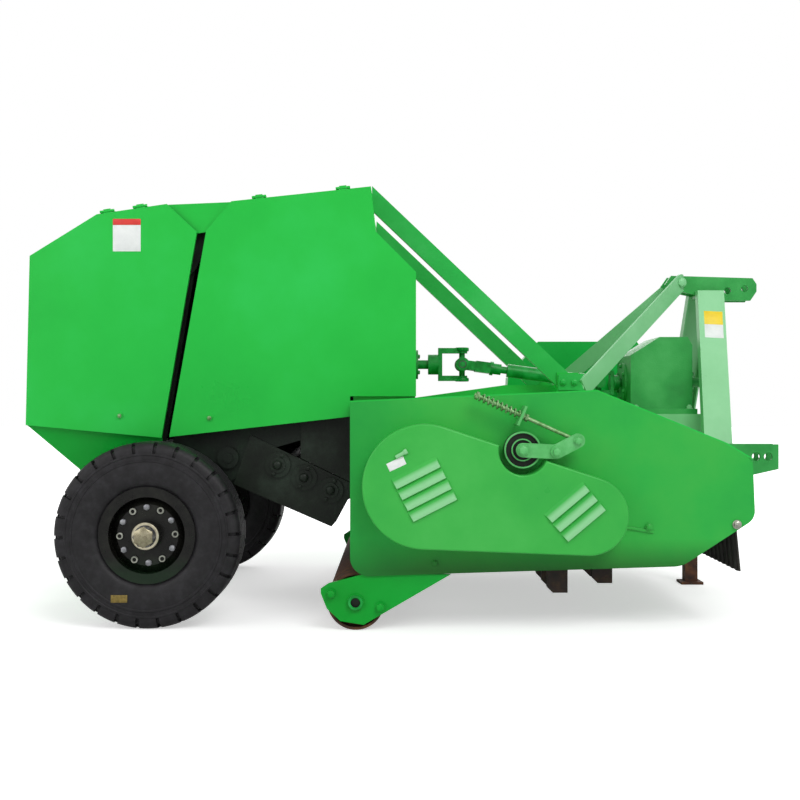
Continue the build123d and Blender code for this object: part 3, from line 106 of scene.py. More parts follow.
def finish_material(
    name, tones, patch, grain, depth, roughness, metallic=0.0, sheen=0.5, swing=0.1, fades=()
):
    """A surface with broad colour drift, a fine bump and a varying roughness.

    tones are its main, darker and lighter sRGB hex; patch and grain are the sizes in metres of the drift
    and of the bump, and depth is the bump's height.  sheen is the level of its reflection.  Each of fades
    is an axis, where it starts and ends in metres, its greatest share and its colour.
    """
    made, tree, shader, place = new_material(name)
    main, low, high = tones
    drift = add_node(
        tree, "ShaderNodeTexNoise", {"Scale": 1 / patch, "Detail": 5.0, "Roughness": 0.6}, {"Vector": place}
    )
    ramp = add_node(tree, "ShaderNodeValToRGB", links={"Fac": drift.outputs["Fac"]})
    ramp.color_ramp.elements[0].position = DARK_END
    ramp.color_ramp.elements[0].color = linear(low)
    ramp.color_ramp.elements[1].position = LIGHT_END
    ramp.color_ramp.elements[1].color = linear(high)
    middle = ramp.color_ramp.elements.new(0.5)
    middle.color = linear(main)
    colour = ramp.outputs["Color"]
    for axis, start, end, most, tint in fades:
        span = fade(tree, place, axis, start, end)
        share = add_node(tree, "ShaderNodeMath", {"operation": "MULTIPLY"})
        tree.links.new(span, share.inputs[0])
        share.inputs[1].default_value = most
        colour = mix_colours(tree, share.outputs[0], colour, tint)
    tree.links.new(colour, shader.inputs["Base Color"])
    fine = add_node(tree, "ShaderNodeTexNoise", {"Scale": 1 / grain, "Detail": 3.0}, {"Vector": place})
    bump = add_node(
        tree, "ShaderNodeBump", {"Strength": 1.0, "Distance": depth}, {"Height": fine.outputs["Fac"]}
    )
    tree.links.new(bump.outputs["Normal"], shader.inputs["Normal"])
    spread = add_node(
        tree, "ShaderNodeMapRange",
        {"To Min": max(roughness - swing, LEAST_ROUGH), "To Max": roughness + swing},
        {"Value": drift.outputs["Fac"]},
    )
    tree.links.new(spread.outputs["Result"], shader.inputs["Roughness"])
    shader.inputs["Metallic"].default_value = metallic
    shader.inputs["Specular IOR Level"].default_value = sheen
    FINISH[name] = made


# Sprayed enamel over folded steel sheet: bright, with broad drift from panel to panel.  The values are
# the tones, then the patch, the grain and the bump's depth in metres, and the roughness.
finish_material("panel_enamel", ("#22BC42", "#1CB33D", "#2CC552"), 0.60, 0.012, 0.0002, 0.30, sheen=0.22)
finish_material("skirt_enamel", ("#0CA433", "#089A2C", "#14AE3B"), 0.40, 0.012, 0.0002, 0.34, sheen=0.2)
# The side plates darken in the shade of the belt cover and turn bluer towards the rear.
finish_material(
    "plate_enamel", ("#2FAE45", "#22A043", "#42B348"), 0.50, 0.010, 0.0002, 0.34, sheen=0.2,
    fades=(("Z", 0.29, 0.19, 0.85, "#1F4F1C"), ("X", 0.02, -0.20, 0.45, "#158A35")),
)
# The belt cover, with a painted highlight: paler where the louvres' lips stand out of it.
finish_material(
    "cover_enamel", ("#3AB047", "#30A743", "#46B850"), 0.35, 0.010, 0.0002, 0.30, sheen=0.25,
    fades=(("Y", -0.8648, -0.8686, 0.8, "#9AD8A2"),),
)
# Other coats of the same green: the far guard, the mast lightened by a painted highlight, the tensioner, the
# struts and the hitch ears.
finish_material("guard_enamel", ("#12B446", "#0DA83E", "#22BD52"), 0.40, 0.010, 0.0002, 0.32, sheen=0.2)
# The mast's pale green is a painted highlight over the same green paint.
finish_material("mast_highlight_enamel", ("#7FC98C", "#74C081", "#8FD39B"), 0.30, 0.008, 0.0002, 0.30, sheen=0.3)
finish_material("link_enamel", ("#5CB969", "#4FAC5B", "#74C880"), 0.05, 0.004, 0.0003, 0.32, sheen=0.3)
finish_material("strut_enamel", ("#22B047", "#1AA440", "#3DBB5C"), 0.30, 0.008, 0.0002, 0.30, sheen=0.25)
finish_material("ear_enamel", ("#35A04B", "#2C9443", "#45AC58"), 0.10, 0.006, 0.0003, 0.32, sheen=0.25)
# Cast iron under the same enamel: a coarser skin, greasy in the hollows.
finish_material("case_enamel", ("#2F9B47", "#25893D", "#45AC58"), 0.16, 0.005, 0.0005, 0.36, sheen=0.3)
finish_material("shaft_enamel", ("#159A3C", "#0C7A2C", "#2FB055"), 0.04, 0.004, 0.0004, 0.34, sheen=0.25)
# Enamel inside the machine and on the chute: a dark green whose darkness is mostly painted shade.
finish_material("inner_shade_enamel", ("#131D15", "#0C140E", "#1C2F20"), 0.12, 0.004, 0.0005, 0.5, sheen=0.2)
finish_material("chute_shade_enamel", ("#182018", "#0E130E", "#28332A"), 0.10, 0.004, 0.0006, 0.4, sheen=0.18)
# Vulcanised rubber: a dull charcoal with dust in the broad drift, browner on the curtain.
finish_material("wheel_rubber", ("#222123", "#1A191B", "#2C2B2E"), 0.03, 0.0015, 0.0005, 0.42, sheen=0.2)
finish_material("apron_rubber", ("#2A2926", "#201F1C", "#3B3833"), 0.05, 0.002, 0.0003, 0.7, sheen=0.3)
# Wheel discs sprayed black, with a painted green reflection low in the dish.
finish_material(
    "rim_enamel", ("#161614", "#0C0C0B", "#22231E"), 0.06, 0.003, 0.0003, 0.24, sheen=0.22,
    fades=(("Z", 0.23, 0.17, 0.5, "#14321A"),),
)
# Rolled steel that has stood outdoors: brown rust with darker scale.
finish_material("rusted_steel", ("#553524", "#33211A", "#7A5032"), 0.03, 0.002, 0.0006, 0.75, metallic=0.2)
finish_material("hammer_steel", ("#2A1D18", "#1A1311", "#42301F"), 0.03, 0.002, 0.0006, 0.6, metallic=0.3)
# The drums' steel is dark with painted shade.
finish_material("drum_shade_steel", ("#232522", "#181A17", "#30332E"), 0.05, 0.002, 0.0002, 0.45, metallic=0.6)
# Zinc plate: bright and grey on the wheel bolts, yellow passivated on the hubs, and on the tensioner
# under green overspray.  The patch on the tyre is brass leaf.
finish_material("zinc_plate", ("#A9ABA0", "#8E9086", "#C4C6BB"), 0.02, 0.001, 0.0001, 0.32, metallic=1.0)
finish_material("yellow_zinc", ("#CBC3AA", "#B8AF94", "#DDD7C2"), 0.02, 0.001, 0.0001, 0.32, metallic=0.9)
finish_material("nut_zinc", ("#8E8770", "#7A735D", "#A69F88"), 0.015, 0.001, 0.0001, 0.28, metallic=0.9)
finish_material("dark_steel", ("#5A5B5D", "#434447", "#76777A"), 0.02, 0.001, 0.0001, 0.4, metallic=0.8)
finish_material("grey_zinc", ("#85868A", "#6C6D71", "#9FA0A3"), 0.02, 0.001, 0.0001, 0.38, metallic=0.9)
finish_material("overspray_zinc", ("#6C9A62", "#54803F", "#97B585"), 0.012, 0.001, 0.0002, 0.4, metallic=0.5)
finish_material("brass_leaf", ("#7C6A34", "#5F5229", "#968043"), 0.01, 0.001, 0.0001, 0.5, metallic=0.5)
# Printed film for the blank plates.
finish_material("white_film", ("#E4E8E6", "#DADEDC", "#EEF1EF"), 0.05, 0.004, 0.00005, 0.45, swing=0.05)
finish_material("red_film", ("#D8352C", "#CB2E26", "#E04438"), 0.05, 0.004, 0.00005, 0.45, swing=0.05)
finish_material("yellow_film", ("#F2D21B", "#E6C515", "#F7DC3A"), 0.05, 0.004, 0.00005, 0.45, swing=0.05)

NODE_FINISH = {
    "panel_enamel": ["front_door_*", "tailgate_door_*", "chamber_skin", "tailgate_skin", "hood"],
    "skirt_enamel": ["tailgate_skirt_*", "roller_bracket_*"],
    "plate_enamel": ["crusher_side_*", "front_beam"],
    "cover_enamel": ["belt_cover"],
    "guard_enamel": ["drive_guard"],
    "ear_enamel": ["top_link_ears", "lower_link_ears_*"],
    "strut_enamel": ["chamber_strut_*"],
    # the mast's pale green is a painted highlight
    "mast_highlight_enamel": ["mast_post_*", "mast_brace_*", "gearbox_stand"],
    "link_enamel": ["tensioner_arm", "tensioner_bracket"],
    "case_enamel": ["gearbox", "chamber_gearbox"],
    "shaft_enamel": ["cardan_shaft"],
    # the inner and chute enamels are painted shade
    "inner_shade_enamel": [
        "chamber_wall_*", "tailgate_wall_*", "crusher_back", "auger_trough", "feed_auger", "axle",
    ],
    "chute_shade_enamel": ["conveyor_side_*", "conveyor_floor", "conveyor_rollers"],
    "wheel_rubber": ["tyre_*"],
    "rim_enamel": ["rim_*"],
    "apron_rubber": ["front_curtain"],
    "rusted_steel": ["press_roller", "parking_leg"],
    "hammer_steel": ["flail_rotor"],
    # the drums' dark steel is painted shade
    "drum_shade_steel": ["chamber_rollers", "tailgate_rollers"],
    "overspray_zinc": ["tensioner_rod", "tensioner_spring", "idler_pulley"],
}
SIDES = (("right", -1), ("left", 1))      # name and the sign of Y
for finish, names in NODE_FINISH.items():
    for name in names:
        wanted = [name.replace("*", side) for side, sign in SIDES] if "*" in name else [name]
        for one in wanted:
            slots = nodes[one].data.materials
            slots.clear()
            slots.append(FINISH[finish])


def second_finish(name, finish, test):
    """Gives the faces of a node that pass a test their own finish."""
    node = nodes[name]
    node.data.materials.append(FINISH[finish])
    for face in node.data.polygons:
        if test(node.matrix_world @ face.center * 1000):
            face.material_index = 1


TAB_FRONT_X = 566             # the tab at the brace's foot ends here
SPINDLE_END_Y = 741           # outboard of this the spindle's nut and washer are bare
ROLLER_END_Y = 464            # outboard of this the rollers' ends are dark with painted shade
for side, sign in SIDES:
    second_finish(f"mast_brace_{side}", "strut_enamel", lambda at: at.x < TAB_FRONT_X)
second_finish("axle", "dark_steel", lambda at: abs(at.y) > SPINDLE_END_Y)
for name in ("chamber_rollers", "tailgate_rollers"):
    second_finish(name, "inner_shade_enamel", lambda at: abs(at.y) > ROLLER_END_Y)


# ---------------------------------------------------------------- modelling helpers
def mm(x, y, z):
    """A point given in millimetres."""
    return Vector((x, y, z)) / 1000


def only(*objects):
    """Selects these objects and nothing else."""
    bpy.ops.object.select_all(action="DESELECT")
    for one in objects:
        one.select_set(True)
    if objects:
        bpy.context.view_layer.objects.active = objects[0]


def pick(test, kind="FACE"):
    """In edit mode, selects the faces or vertices that pass a test."""
    bpy.ops.mesh.select_mode(type=kind)
    bpy.ops.mesh.select_all(action="DESELECT")
    data = bpy.context.object.data
    mesh = bmesh.from_edit_mesh(data)
    for item in mesh.faces if kind == "FACE" else mesh.verts:
        if test(item):
            item.select_set(True)
    mesh.select_flush_mode()
    bmesh.update_edit_mesh(data)


def facing(axis):
    """Turns +Z to an axis."""
    return Vector(axis).to_track_quat("Z", "Y").to_matrix().to_4x4()


def put(piece, place, axis=(0, 0, 1), size=1.0):
    """Sets a piece modelled about +Z at the origin in its place."""
    piece.matrix_world = Matrix.Translation(place) @ facing(axis) @ Matrix.Scale(size, 4)
    return piece


def copy_of(piece):
    """A copy with its own mesh."""
    made = piece.copy()
    made.data = piece.data.copy()
    scene.collection.objects.link(made)
    return made


SMOOTH_ANGLE = 35


def settle(piece, name, body, finish, angle=SMOOTH_ANGLE):
    """Puts a piece's place into its mesh, names it, and gives it its shading, finish and body."""
    only(piece)
    bpy.ops.object.transform_apply(location=True, rotation=True, scale=True)
    bpy.ops.object.shade_smooth_by_angle(angle=math.radians(angle))
    piece.name = name
    piece.data.name = name
    piece.data.materials.clear()
    piece.data.materials.append(FINISH[finish])
    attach(piece, body)


def joined(parts):
    """Joins several objects into one."""
    only(*parts)
    if len(parts) > 1:
        bpy.ops.object.join()
    return bpy.context.object


def copies_joined(master, name, body, finish, places, axis, size=1.0):
    """One piece made of copies of a master at several places."""
    settle(joined([put(copy_of(master), place, axis, size) for place in places]), name, body, finish)


def turn_about_y(piece, degrees, pivot):
    """Turns a piece about an axis along Y through a point."""
    only(piece)
    bpy.ops.transform.rotate(value=math.radians(degrees), orient_axis="Y", center_override=pivot)


def turned(profile, sides, ring=False):
    """A piece turned about Z: radius and height in millimetres of each ring, in turn.

    A ring's last profile point is joined to its first; any other piece is closed by flat ends.
    """
    only()
    first_r, first_h = profile[0]
    bpy.ops.mesh.primitive_circle_add(vertices=sides, radius=first_r / 1000, location=(0, 0, first_h / 1000))
    piece = bpy.context.object
    bpy.ops.object.transform_apply(location=True)
    bpy.ops.object.mode_set(mode="EDIT")
    bpy.ops.mesh.select_mode(type="EDGE")
    bpy.ops.mesh.select_all(action="SELECT")
    for (r0, h0), (r1, h1) in zip(profile, profile[1:]):
        bpy.ops.mesh.extrude_region()
        bpy.ops.transform.translate(value=(0, 0, (h1 - h0) / 1000))
        bpy.ops.transform.resize(value=(r1 / r0, r1 / r0, 1), center_override=(0, 0, 0))
    if ring:
        bpy.ops.mesh.select_all(action="DESELECT")
        bpy.ops.mesh.select_non_manifold()
        bpy.ops.mesh.bridge_edge_loops()
    else:
        bpy.ops.mesh.select_all(action="SELECT")
        bpy.ops.mesh.fill_holes(sides=0)
    bpy.ops.mesh.select_all(action="SELECT")
    bpy.ops.mesh.normals_make_consistent(inside=False)
    bpy.ops.object.mode_set(mode="OBJECT")
    return piece


def block(centre, size, edge):
    """A block in millimetres with rounded edges."""
    only()
    bpy.ops.mesh.primitive_cube_add(size=1, location=mm(*centre))
    piece = bpy.context.object
    piece.scale = mm(*size)
    bpy.ops.object.transform_apply(location=True, rotation=False, scale=True)
    bpy.ops.object.mode_set(mode="EDIT")
    bpy.ops.mesh.select_all(action="SELECT")
    bpy.ops.mesh.bevel(offset=edge / 1000, segments=2)
    bpy.ops.object.mode_set(mode="OBJECT")
    return piece


SHEET_EDGE = 0.0006


def sheet(corners, y, thickness):
    """A flat sheet with four corners, given as X and Z in millimetres, growing from y."""
    only()
    bpy.ops.mesh.primitive_plane_add(size=0.1, rotation=(math.pi / 2, 0, 0))
    piece = bpy.context.object
    bpy.ops.object.transform_apply(rotation=True)
    bpy.ops.object.mode_set(mode="EDIT")
    start = [vertex.co.copy() for vertex in piece.data.vertices]
    order = sorted(range(4), key=lambda i: math.atan2(start[i].z, start[i].x))
    for i, (x, z) in zip(order, corners):
        pick(lambda vertex: vertex.index == i, "VERT")
        bpy.ops.transform.translate(value=mm(x, y, z) - start[i])
    bpy.ops.mesh.select_all(action="SELECT")
    bpy.ops.mesh.extrude_region()
    bpy.ops.transform.translate(value=(0, thickness / 1000, 0))
    bpy.ops.mesh.select_all(action="SELECT")
    bpy.ops.mesh.normals_make_consistent(inside=False)
    bpy.ops.mesh.bevel(offset=SHEET_EDGE, segments=1)
    bpy.ops.object.mode_set(mode="OBJECT")
    return piece


# ---------------------------------------------------------------- fasteners, each modelled once about +Z
HEX_RIM = 0.11                # chamfer's width as a share of the width across flats
HEX_SLOPE = 0.6               # chamfer's height as a share of its width
ACROSS_TO_RADIUS = 1.732


def hexagon(across, foot, height, rim=HEX_RIM):
    """Hexagonal head or nut with a chamfered top, in millimetres."""
    bpy.ops.mesh.primitive_cylinder_add(
        vertices=6, radius=across / ACROSS_TO_RADIUS / 1000, depth=height / 1000,
        location=(0, 0, (foot + height / 2) / 1000),
    )
    made = bpy.context.object
    bpy.ops.object.transform_apply(location=True)
    bpy.ops.object.mode_set(mode="EDIT")
    pick(lambda face: face.normal.z > 0.9)
    bpy.ops.mesh.inset(thickness=across * rim / 1000)
    bpy.ops.transform.translate(value=(0, 0, across * rim * HEX_SLOPE / 1000))
    bpy.ops.object.mode_set(mode="OBJECT")
    return made


WASHER_EDGE = 0.6
STUD_SHARE = 0.32             # stud's radius as a share of the nut's width
STUD_CHAMFER = 1.2
SEAT = 0.1                    # how far a head sits into its washer


def model_bolt(across=18, washer_r=13, washer_t=2, head=8, stub=0):
    """Hexagonal head on a washer, or a nut on a washer with the end of its stud."""
    only()
    top_r = washer_r - WASHER_EDGE
    rim_top = washer_t - WASHER_EDGE
    washer = turned([(top_r, 0), (washer_r, WASHER_EDGE), (washer_r, rim_top), (top_r, washer_t)], 24)
    parts = [washer, hexagon(across, washer_t - SEAT, head)]
    if stub:
        stud_r = across * STUD_SHARE
        nut_top = washer_t + head
        top = nut_top + stub
        stud = [(stud_r, nut_top - 1), (stud_r, top - STUD_CHAMFER), (stud_r - STUD_CHAMFER, top)]
        parts.append(turned(stud, 16))
    return joined(parts)


bolt = model_bolt()
nut = model_bolt(stub=5)
flanged_bolt = model_bolt(washer_r=11)
socket_nut = turned(
    [(6.5, 0), (10.5, 0), (11, 0.8), (11, 6), (10, 7), (7, 7), (6.4, 6.2), (6.4, 0.5)], 20, ring=True
)
rivet = turned([(6.5, 0), (6.3, 1.4), (5.2, 2.7), (3.2, 3.6), (1.2, 3.9)], 16)
dome = turned([(9.5, 0), (9.5, 1.5), (8.4, 3.2), (6, 4.6), (3, 5.3), (0.8, 5.5)], 20)
masters = [bolt, nut, flanged_bolt, socket_nut, rivet, dome]


# ---------------------------------------------------------------- wheels
TREAD_LUGS = 26
SIDES_PER_LUG = 6
SLOT_FROM_R = 261
SLOT_TO_Y = 48
SLOT_DEPTH = 0.011
TYRE_R = 295
TYRE_SMOOTH = 30
# Radius and distance from the tyre's middle: bead, sidewall with two raised rings, shoulder, tread.
TYRE_HALF = (
    (128, 66), (150, 68.5), (155, 69.5), (158, 75), (163, 80.5), (172, 84), (186, 87), (205, 88.4),
    (225, 88.8), (232, 88.0), (234, 89.9), (239, 89.9), (241, 87.8), (252, 87.4), (254, 89.2), (258, 89.0),
    (260, 87.2), (266, 87), (276, 85.5), (285, 81.5), (291, 75), (294.3, 66), (295, 58), (295, 48),
    (295, 37), (288, 35.5), (288, 28), (295, 26.5), (295, 4.5), (288, 3),
)


def tyre(side):
    """Tyre with ribbed sidewalls, shoulder slots and three tread grooves."""
    low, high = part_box(f"tyre_{side}")
    scale = (high.z - low.z) * 500 / TYRE_R
    section = [(r * scale, y) for r, y in TYRE_HALF] + [(r * scale, -y) for r, y in reversed(TYRE_HALF)]
    sectors = TREAD_LUGS * SIDES_PER_LUG
    piece = turned(section, sectors, ring=True)
    bpy.ops.object.mode_set(mode="EDIT")

    def in_slot(face):
        spot = face.calc_center_median() * 1000
        sector = math.floor(math.atan2(spot.x, spot.y) / math.tau * sectors)
        offset = 0 if spot.z > 0 else SIDES_PER_LUG // 2
        return (
            (sector + offset) % SIDES_PER_LUG == 0
            and math.hypot(spot.x, spot.y) > SLOT_FROM_R * scale
            and abs(spot.z) > SLOT_TO_Y
        )

    pick(in_slot)
    bpy.ops.mesh.extrude_region()
    bpy.ops.transform.shrink_fatten(value=-SLOT_DEPTH)
    bpy.ops.object.mode_set(mode="OBJECT")
    put(piece, (low + high) / 2, (0, 1, 0))
    settle(piece, f"tyre_rubber_{side}", f"{side}_wheel", "wheel_rubber", TYRE_SMOOTH)
    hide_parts(f"tyre_{side}")


WHEEL_BOLTS = 12
BOLT_CIRCLE = 88
BOLT_TURN = 2                 # degrees
DISC_FACE = 706               # outer face of the wheel disc
HUB_WASHER_FOOT = 741         # a rim round the spindle's washer
NUT_FOOT = 767.3              # the chamfered end of the spindle's nut
HUB_WASHER = ((35, 0), (41, 0), (43, 2), (43, 5), (41, 7), (35, 7))
for side, sign in SIDES:
    tyre(side)
    low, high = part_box(f"tyre_{side}")
    axle = (low + high) * 500
    outward = (0, sign, 0)
    ring_places = []
    for i in range(WHEEL_BOLTS):
        turn = math.tau * i / WHEEL_BOLTS + math.radians(BOLT_TURN)
        x = axle.x + BOLT_CIRCLE * math.cos(turn)
        z = axle.z + BOLT_CIRCLE * math.sin(turn)
        ring_places.append(mm(x, sign * DISC_FACE, z))
    wheel = f"{side}_wheel"
    copies_joined(socket_nut, f"wheel_sockets_{side}", wheel, "zinc_plate", ring_places[0::2], outward)
    copies_joined(flanged_bolt, f"wheel_bolts_{side}", wheel, "grey_zinc", ring_places[1::2], outward, 0.9)
    hub_washer = turned(HUB_WASHER, 48, ring=True)
    put(hub_washer, mm(axle.x, sign * HUB_WASHER_FOOT, axle.z), outward)
    settle(hub_washer, f"hub_washer_{side}", "frame", "yellow_zinc")
    only()
    hub_nut = hexagon(58, 0, 9, rim=0.13)
    put(hub_nut, mm(axle.x, sign * NUT_FOOT, axle.z), outward)
    settle(hub_nut, f"hub_nut_{side}", "frame", "nut_zinc")

# Vent spews left on the upper tread of new tyres.
SPEWS = 34
SPEW_LENGTH = 0.011
SPEW_SEAT = 0.002
SPEW_FROM = -12               # degrees above the horizontal, from the front over the top to the rear
SPEW_SPAN = 204
SPEW_Y = (0.032, 0.043, 0.020)
only()
bpy.ops.mesh.primitive_cone_add(
    vertices=5, radius1=0.0008, radius2=0.0003, depth=SPEW_LENGTH, location=(0, 0, SPEW_LENGTH / 2)
)
spew = bpy.context.object
bpy.ops.object.transform_apply(location=True)
masters.append(spew)
for side, sign in SIDES:
    low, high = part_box(f"tyre_{side}")
    middle = (low + high) / 2
    tread_r = (high.z - low.z) / 2
    hairs = []
    for i in range(SPEWS):
        turn = math.radians(SPEW_FROM + SPEW_SPAN * (i + 0.35 * math.sin(5 * i)) / SPEWS)
        way = Vector((math.cos(turn), 0.5 * math.sin(3 * i + 1), math.sin(turn)))
        radial = Vector((way.x, 0, way.z))
        foot = middle + radial * (tread_r - SPEW_SEAT) + Vector((0, sign * SPEW_Y[i % len(SPEW_Y)], 0))
        hairs.append(put(copy_of(spew), foot, way))
    settle(joined(hairs), f"tyre_spews_{side}", f"{side}_wheel", "wheel_rubber")

# A blank moulded patch low on the near sidewall.
settle(block((-931, -739.2, 98), (52, 1.6, 24), 0.7), "tyre_patch_right", "right_wheel", "brass_leaf")

# ---------------------------------------------------------------- doors
DOOR_OUT = 550
LATCH_FACE = 554
LATCHES = (("front_door", (-678, 664)), ("tail_door", (-974, 671)))
for side, sign in SIDES:
    for door, (x, z) in LATCHES:
        copies_joined(
            bolt, f"{door}_bolt_{side}", f"{side}_{door}", "overspray_zinc",
            [mm(x, sign * LATCH_FACE, z)], (0, sign, 0), 0.55,
        )

# A blank plate on the tail door: white under a red head.
PLATE_X = -951
PLATE_WIDTH = 92
PLATES = (("door_plate", "white_film", 1257, 87), ("door_plate_head", "red_film", 1311, 20))
for name, finish, z, height in PLATES:
    plate = block((PLATE_X, -DOOR_OUT - 0.5, z), (PLATE_WIDTH, 1, height), 0.4)
    settle(plate, name, "right_tail_door", finish)

# ---------------------------------------------------------------- crusher side plates and roller brackets
SIDE_OUT = 760
BRACKET_BOLTS = ((-264, 118), (-110, 76))
PRESS_AXIS = (-188, 90)
SIDE_BOLT = (60, 213)
CURTAIN_ROD = (1002, 334)
BUSH = ((15, 0), (22, 0), (23, 1), (23, 7), (22, 8), (16, 8), (15, 7))
PLUG = ((15.5, 0), (15.5, 2), (13.5, 3), (6, 3.4), (1, 3.6))


def on_side(sign, place, proud=0):
    """A place, given as X and Z in millimetres, on the outer face of a crusher side plate."""
    return mm(place[0], sign * (SIDE_OUT + proud), place[1])


for side, sign in SIDES:
    out = (0, sign, 0)
    bracket_bolts = [on_side(sign, place, 1) for place in BRACKET_BOLTS]
    copies_joined(bolt, f"bracket_bolts_{side}", "frame", "skirt_enamel", bracket_bolts, out, 1.15)
    bush = put(turned(BUSH, 32, ring=True), on_side(sign, PRESS_AXIS, -1), out)
    settle(bush, f"roller_bush_{side}", "frame", "shaft_enamel")
    # The plug darkens the pipe's end with painted shade.
    plug = put(turned(PLUG, 32), on_side(sign, PRESS_AXIS, -0.5), out)
    settle(plug, f"roller_plug_{side}", "frame", "chute_shade_enamel")
    side_bolt = [on_side(sign, SIDE_BOLT)]
    copies_joined(bolt, f"side_plate_bolts_{side}", "frame", "plate_enamel", side_bolt, out, 0.8)
    rod_end = [on_side(sign, CURTAIN_ROD, 3)]
    copies_joined(nut, f"curtain_nut_{side}", "frame", "zinc_plate", rod_end, out, 1.1)

# Small lever with its nut beside the rotor's end, near side only.
lever = block((700, -SIDE_OUT - 3, 313), (86, 5, 9), 1.5)
turn_about_y(lever, -10, on_side(-1, (727, 318)))
settle(lever, "reel_lever", "frame", "cover_enamel")
copies_joined(nut, "reel_lever_nut", "frame", "cover_enamel", [on_side(-1, (727, 326), 4)], (0, -1, 0), 0.95)

# ---------------------------------------------------------------- belt cover: turn knob and blank sticker
COVER_OUT = 860
KNOB = ((7, 0), (8, 1), (8, 34), (10, 36), (11, 39), (11, 47), (10, 49), (6, 50))
knob = put(turned(KNOB, 24), mm(-62, -COVER_OUT - 4, 548), Vector((0.87, 0, 0.5)), 0.8)
settle(knob, "cover_knob", "frame", "cover_enamel")
sticker = block((-60, -COVER_OUT - 0.4, 528), (56, 0.8, 26), 0.3)
turn_about_y(sticker, 25, mm(-60, -COVER_OUT, 528))
settle(sticker, "cover_sticker", "frame", "white_film")

# ---------------------------------------------------------------- belt tensioner
# One side of the idler from its bore out: recessed bearing face, housing ring, web, flange and belt face.
IDLER_SIDE = ((12.3, 6), (31, 6), (31, 1), (36, 1), (36, 8), (50, 8), (50, 1), (56, 1), (56, 6))
GROOVE_R = 49
GROOVE_HALF = 11
RING_EDGE = 0.8
low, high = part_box("idler_pulley")
idler = (low + high) / 2
half = (high.y - low.y) * 500
near = [(r, inset - half) for r, inset in IDLER_SIDE]
far = [(r, half - inset) for r, inset in reversed(IDLER_SIDE)]
pulley = turned(near + [(GROOVE_R, -GROOVE_HALF), (GROOVE_R, GROOVE_HALF)] + far, 64, ring=True)
put(pulley, idler, (0, 1, 0))
# Its turned faces are dark with painted shade between the pale rings.
settle(pulley, "idler_turned", "idler_pulley", "chute_shade_enamel")
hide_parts("idler_pulley")
for name, inner_r, outer_r, foot in (("lip", 51.5, 57, -6), ("housing", 30.6, 35, -3)):
    section = [
        (inner_r, foot), (outer_r, foot), (outer_r, -RING_EDGE), (outer_r - RING_EDGE, 0),
        (inner_r + RING_EDGE, 0), (inner_r, -RING_EDGE),
    ]
    band = put(turned(section, 64, ring=True), Vector((idler.x, low.y, idler.z)), (0, -1, 0))
    settle(band, f"idler_{name}", "idler_pulley", "link_enamel")

SPRING_R = 14
COILS = 9
STEPS = 20
WIRE_R = 2.9
WIRE_SIDES = 10
ROD_WAY = Vector((-314, 0, 141)).normalized()
low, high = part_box("tensioner_spring")
spring_middle = (low + high) / 2
spring_span = ((high.x - low.x) * 1000 - 2 * SPRING_R * ROD_WAY.z) / -ROD_WAY.x
only()
bpy.ops.mesh.primitive_circle_add(
    vertices=WIRE_SIDES, radius=WIRE_R / 1000, fill_type="NGON", rotation=(math.pi / 2, 0, 0)
)
spring = bpy.context.object
spring.location = ((SPRING_R - WIRE_R) / 1000, 0, 0)
bpy.ops.object.transform_apply(location=True, rotation=True)
coil = spring.modifiers.new("coil", "SCREW")
coil.angle = math.tau
coil.iterations = COILS
coil.steps = STEPS
coil.render_steps = STEPS
coil.screw_offset = (spring_span - 2 * WIRE_R) / COILS / 1000
bpy.ops.object.modifier_apply(modifier="coil")
bpy.ops.object.mode_set(mode="EDIT")
bpy.ops.mesh.select_all(action="SELECT")
bpy.ops.mesh.remove_doubles(threshold=0.00001)
bpy.ops.mesh.normals_make_consistent(inside=False)
bpy.ops.object.mode_set(mode="OBJECT")
put(spring, spring_middle - ROD_WAY * (spring_span / 2 - WIRE_R) / 1000, ROD_WAY)
settle(spring, "tensioner_coil", "frame", "overspray_zinc")
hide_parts("tensioner_spring")

# Lock nuts on the rod, one clear of its bracket and one let into the bracket's plate: how far along the
# rod from the spring's foot they start.
spring_foot = spring_middle - ROD_WAY * (spring_span / 2) / 1000
for name, start in (("inner", -25), ("outer", -13)):
    lock_nut = put(hexagon(20, 0, 8), spring_foot + ROD_WAY * start / 1000, ROD_WAY)
    settle(lock_nut, f"tensioner_nut_{name}", "frame", "overspray_zinc")

ARM_BOLT_FACE = 849
ARM_BOLTS = (("idler", (327, 569), 1.3), ("pivot", (428, 564), 1.2), ("eye", (494, 598), 1.0))
for name, (x, z), size in ARM_BOLTS:
    place = [mm(x, -ARM_BOLT_FACE, z)]
    copies_joined(bolt, f"arm_bolt_{name}", "frame", "link_enamel", place, (0, -1, 0), size)

# ---------------------------------------------------------------- conveyor bearings
FLANGE_FACE = 484
SHAFT_END = 494.5
CONVEYOR_AXES = [(-460 + 88.8 * i, 505 - 42.5 * i) for i in range(3)]
SCREW_CIRCLE = 34
SCREW_TURNS = (65, 245)
for side, sign in SIDES:
    out = (0, sign, 0)
    screws = []
    for x, z in CONVEYOR_AXES:
        for way in map(math.radians, SCREW_TURNS):
            x_out = SCREW_CIRCLE * math.cos(way)
            z_out = SCREW_CIRCLE * math.sin(way)
            screws.append(mm(x + x_out, sign * FLANGE_FACE, z + z_out))
    # Screws and caps are dark with painted shade, like the chute.
    copies_joined(flanged_bolt, f"bearing_bolts_{side}", "frame", "chute_shade_enamel", screws, out, 0.6)
    ends = [mm(x, sign * SHAFT_END, z) for x, z in CONVEYOR_AXES]
    copies_joined(dome, f"bearing_caps_{side}", "frame", "chute_shade_enamel", ends, out, 1.6)

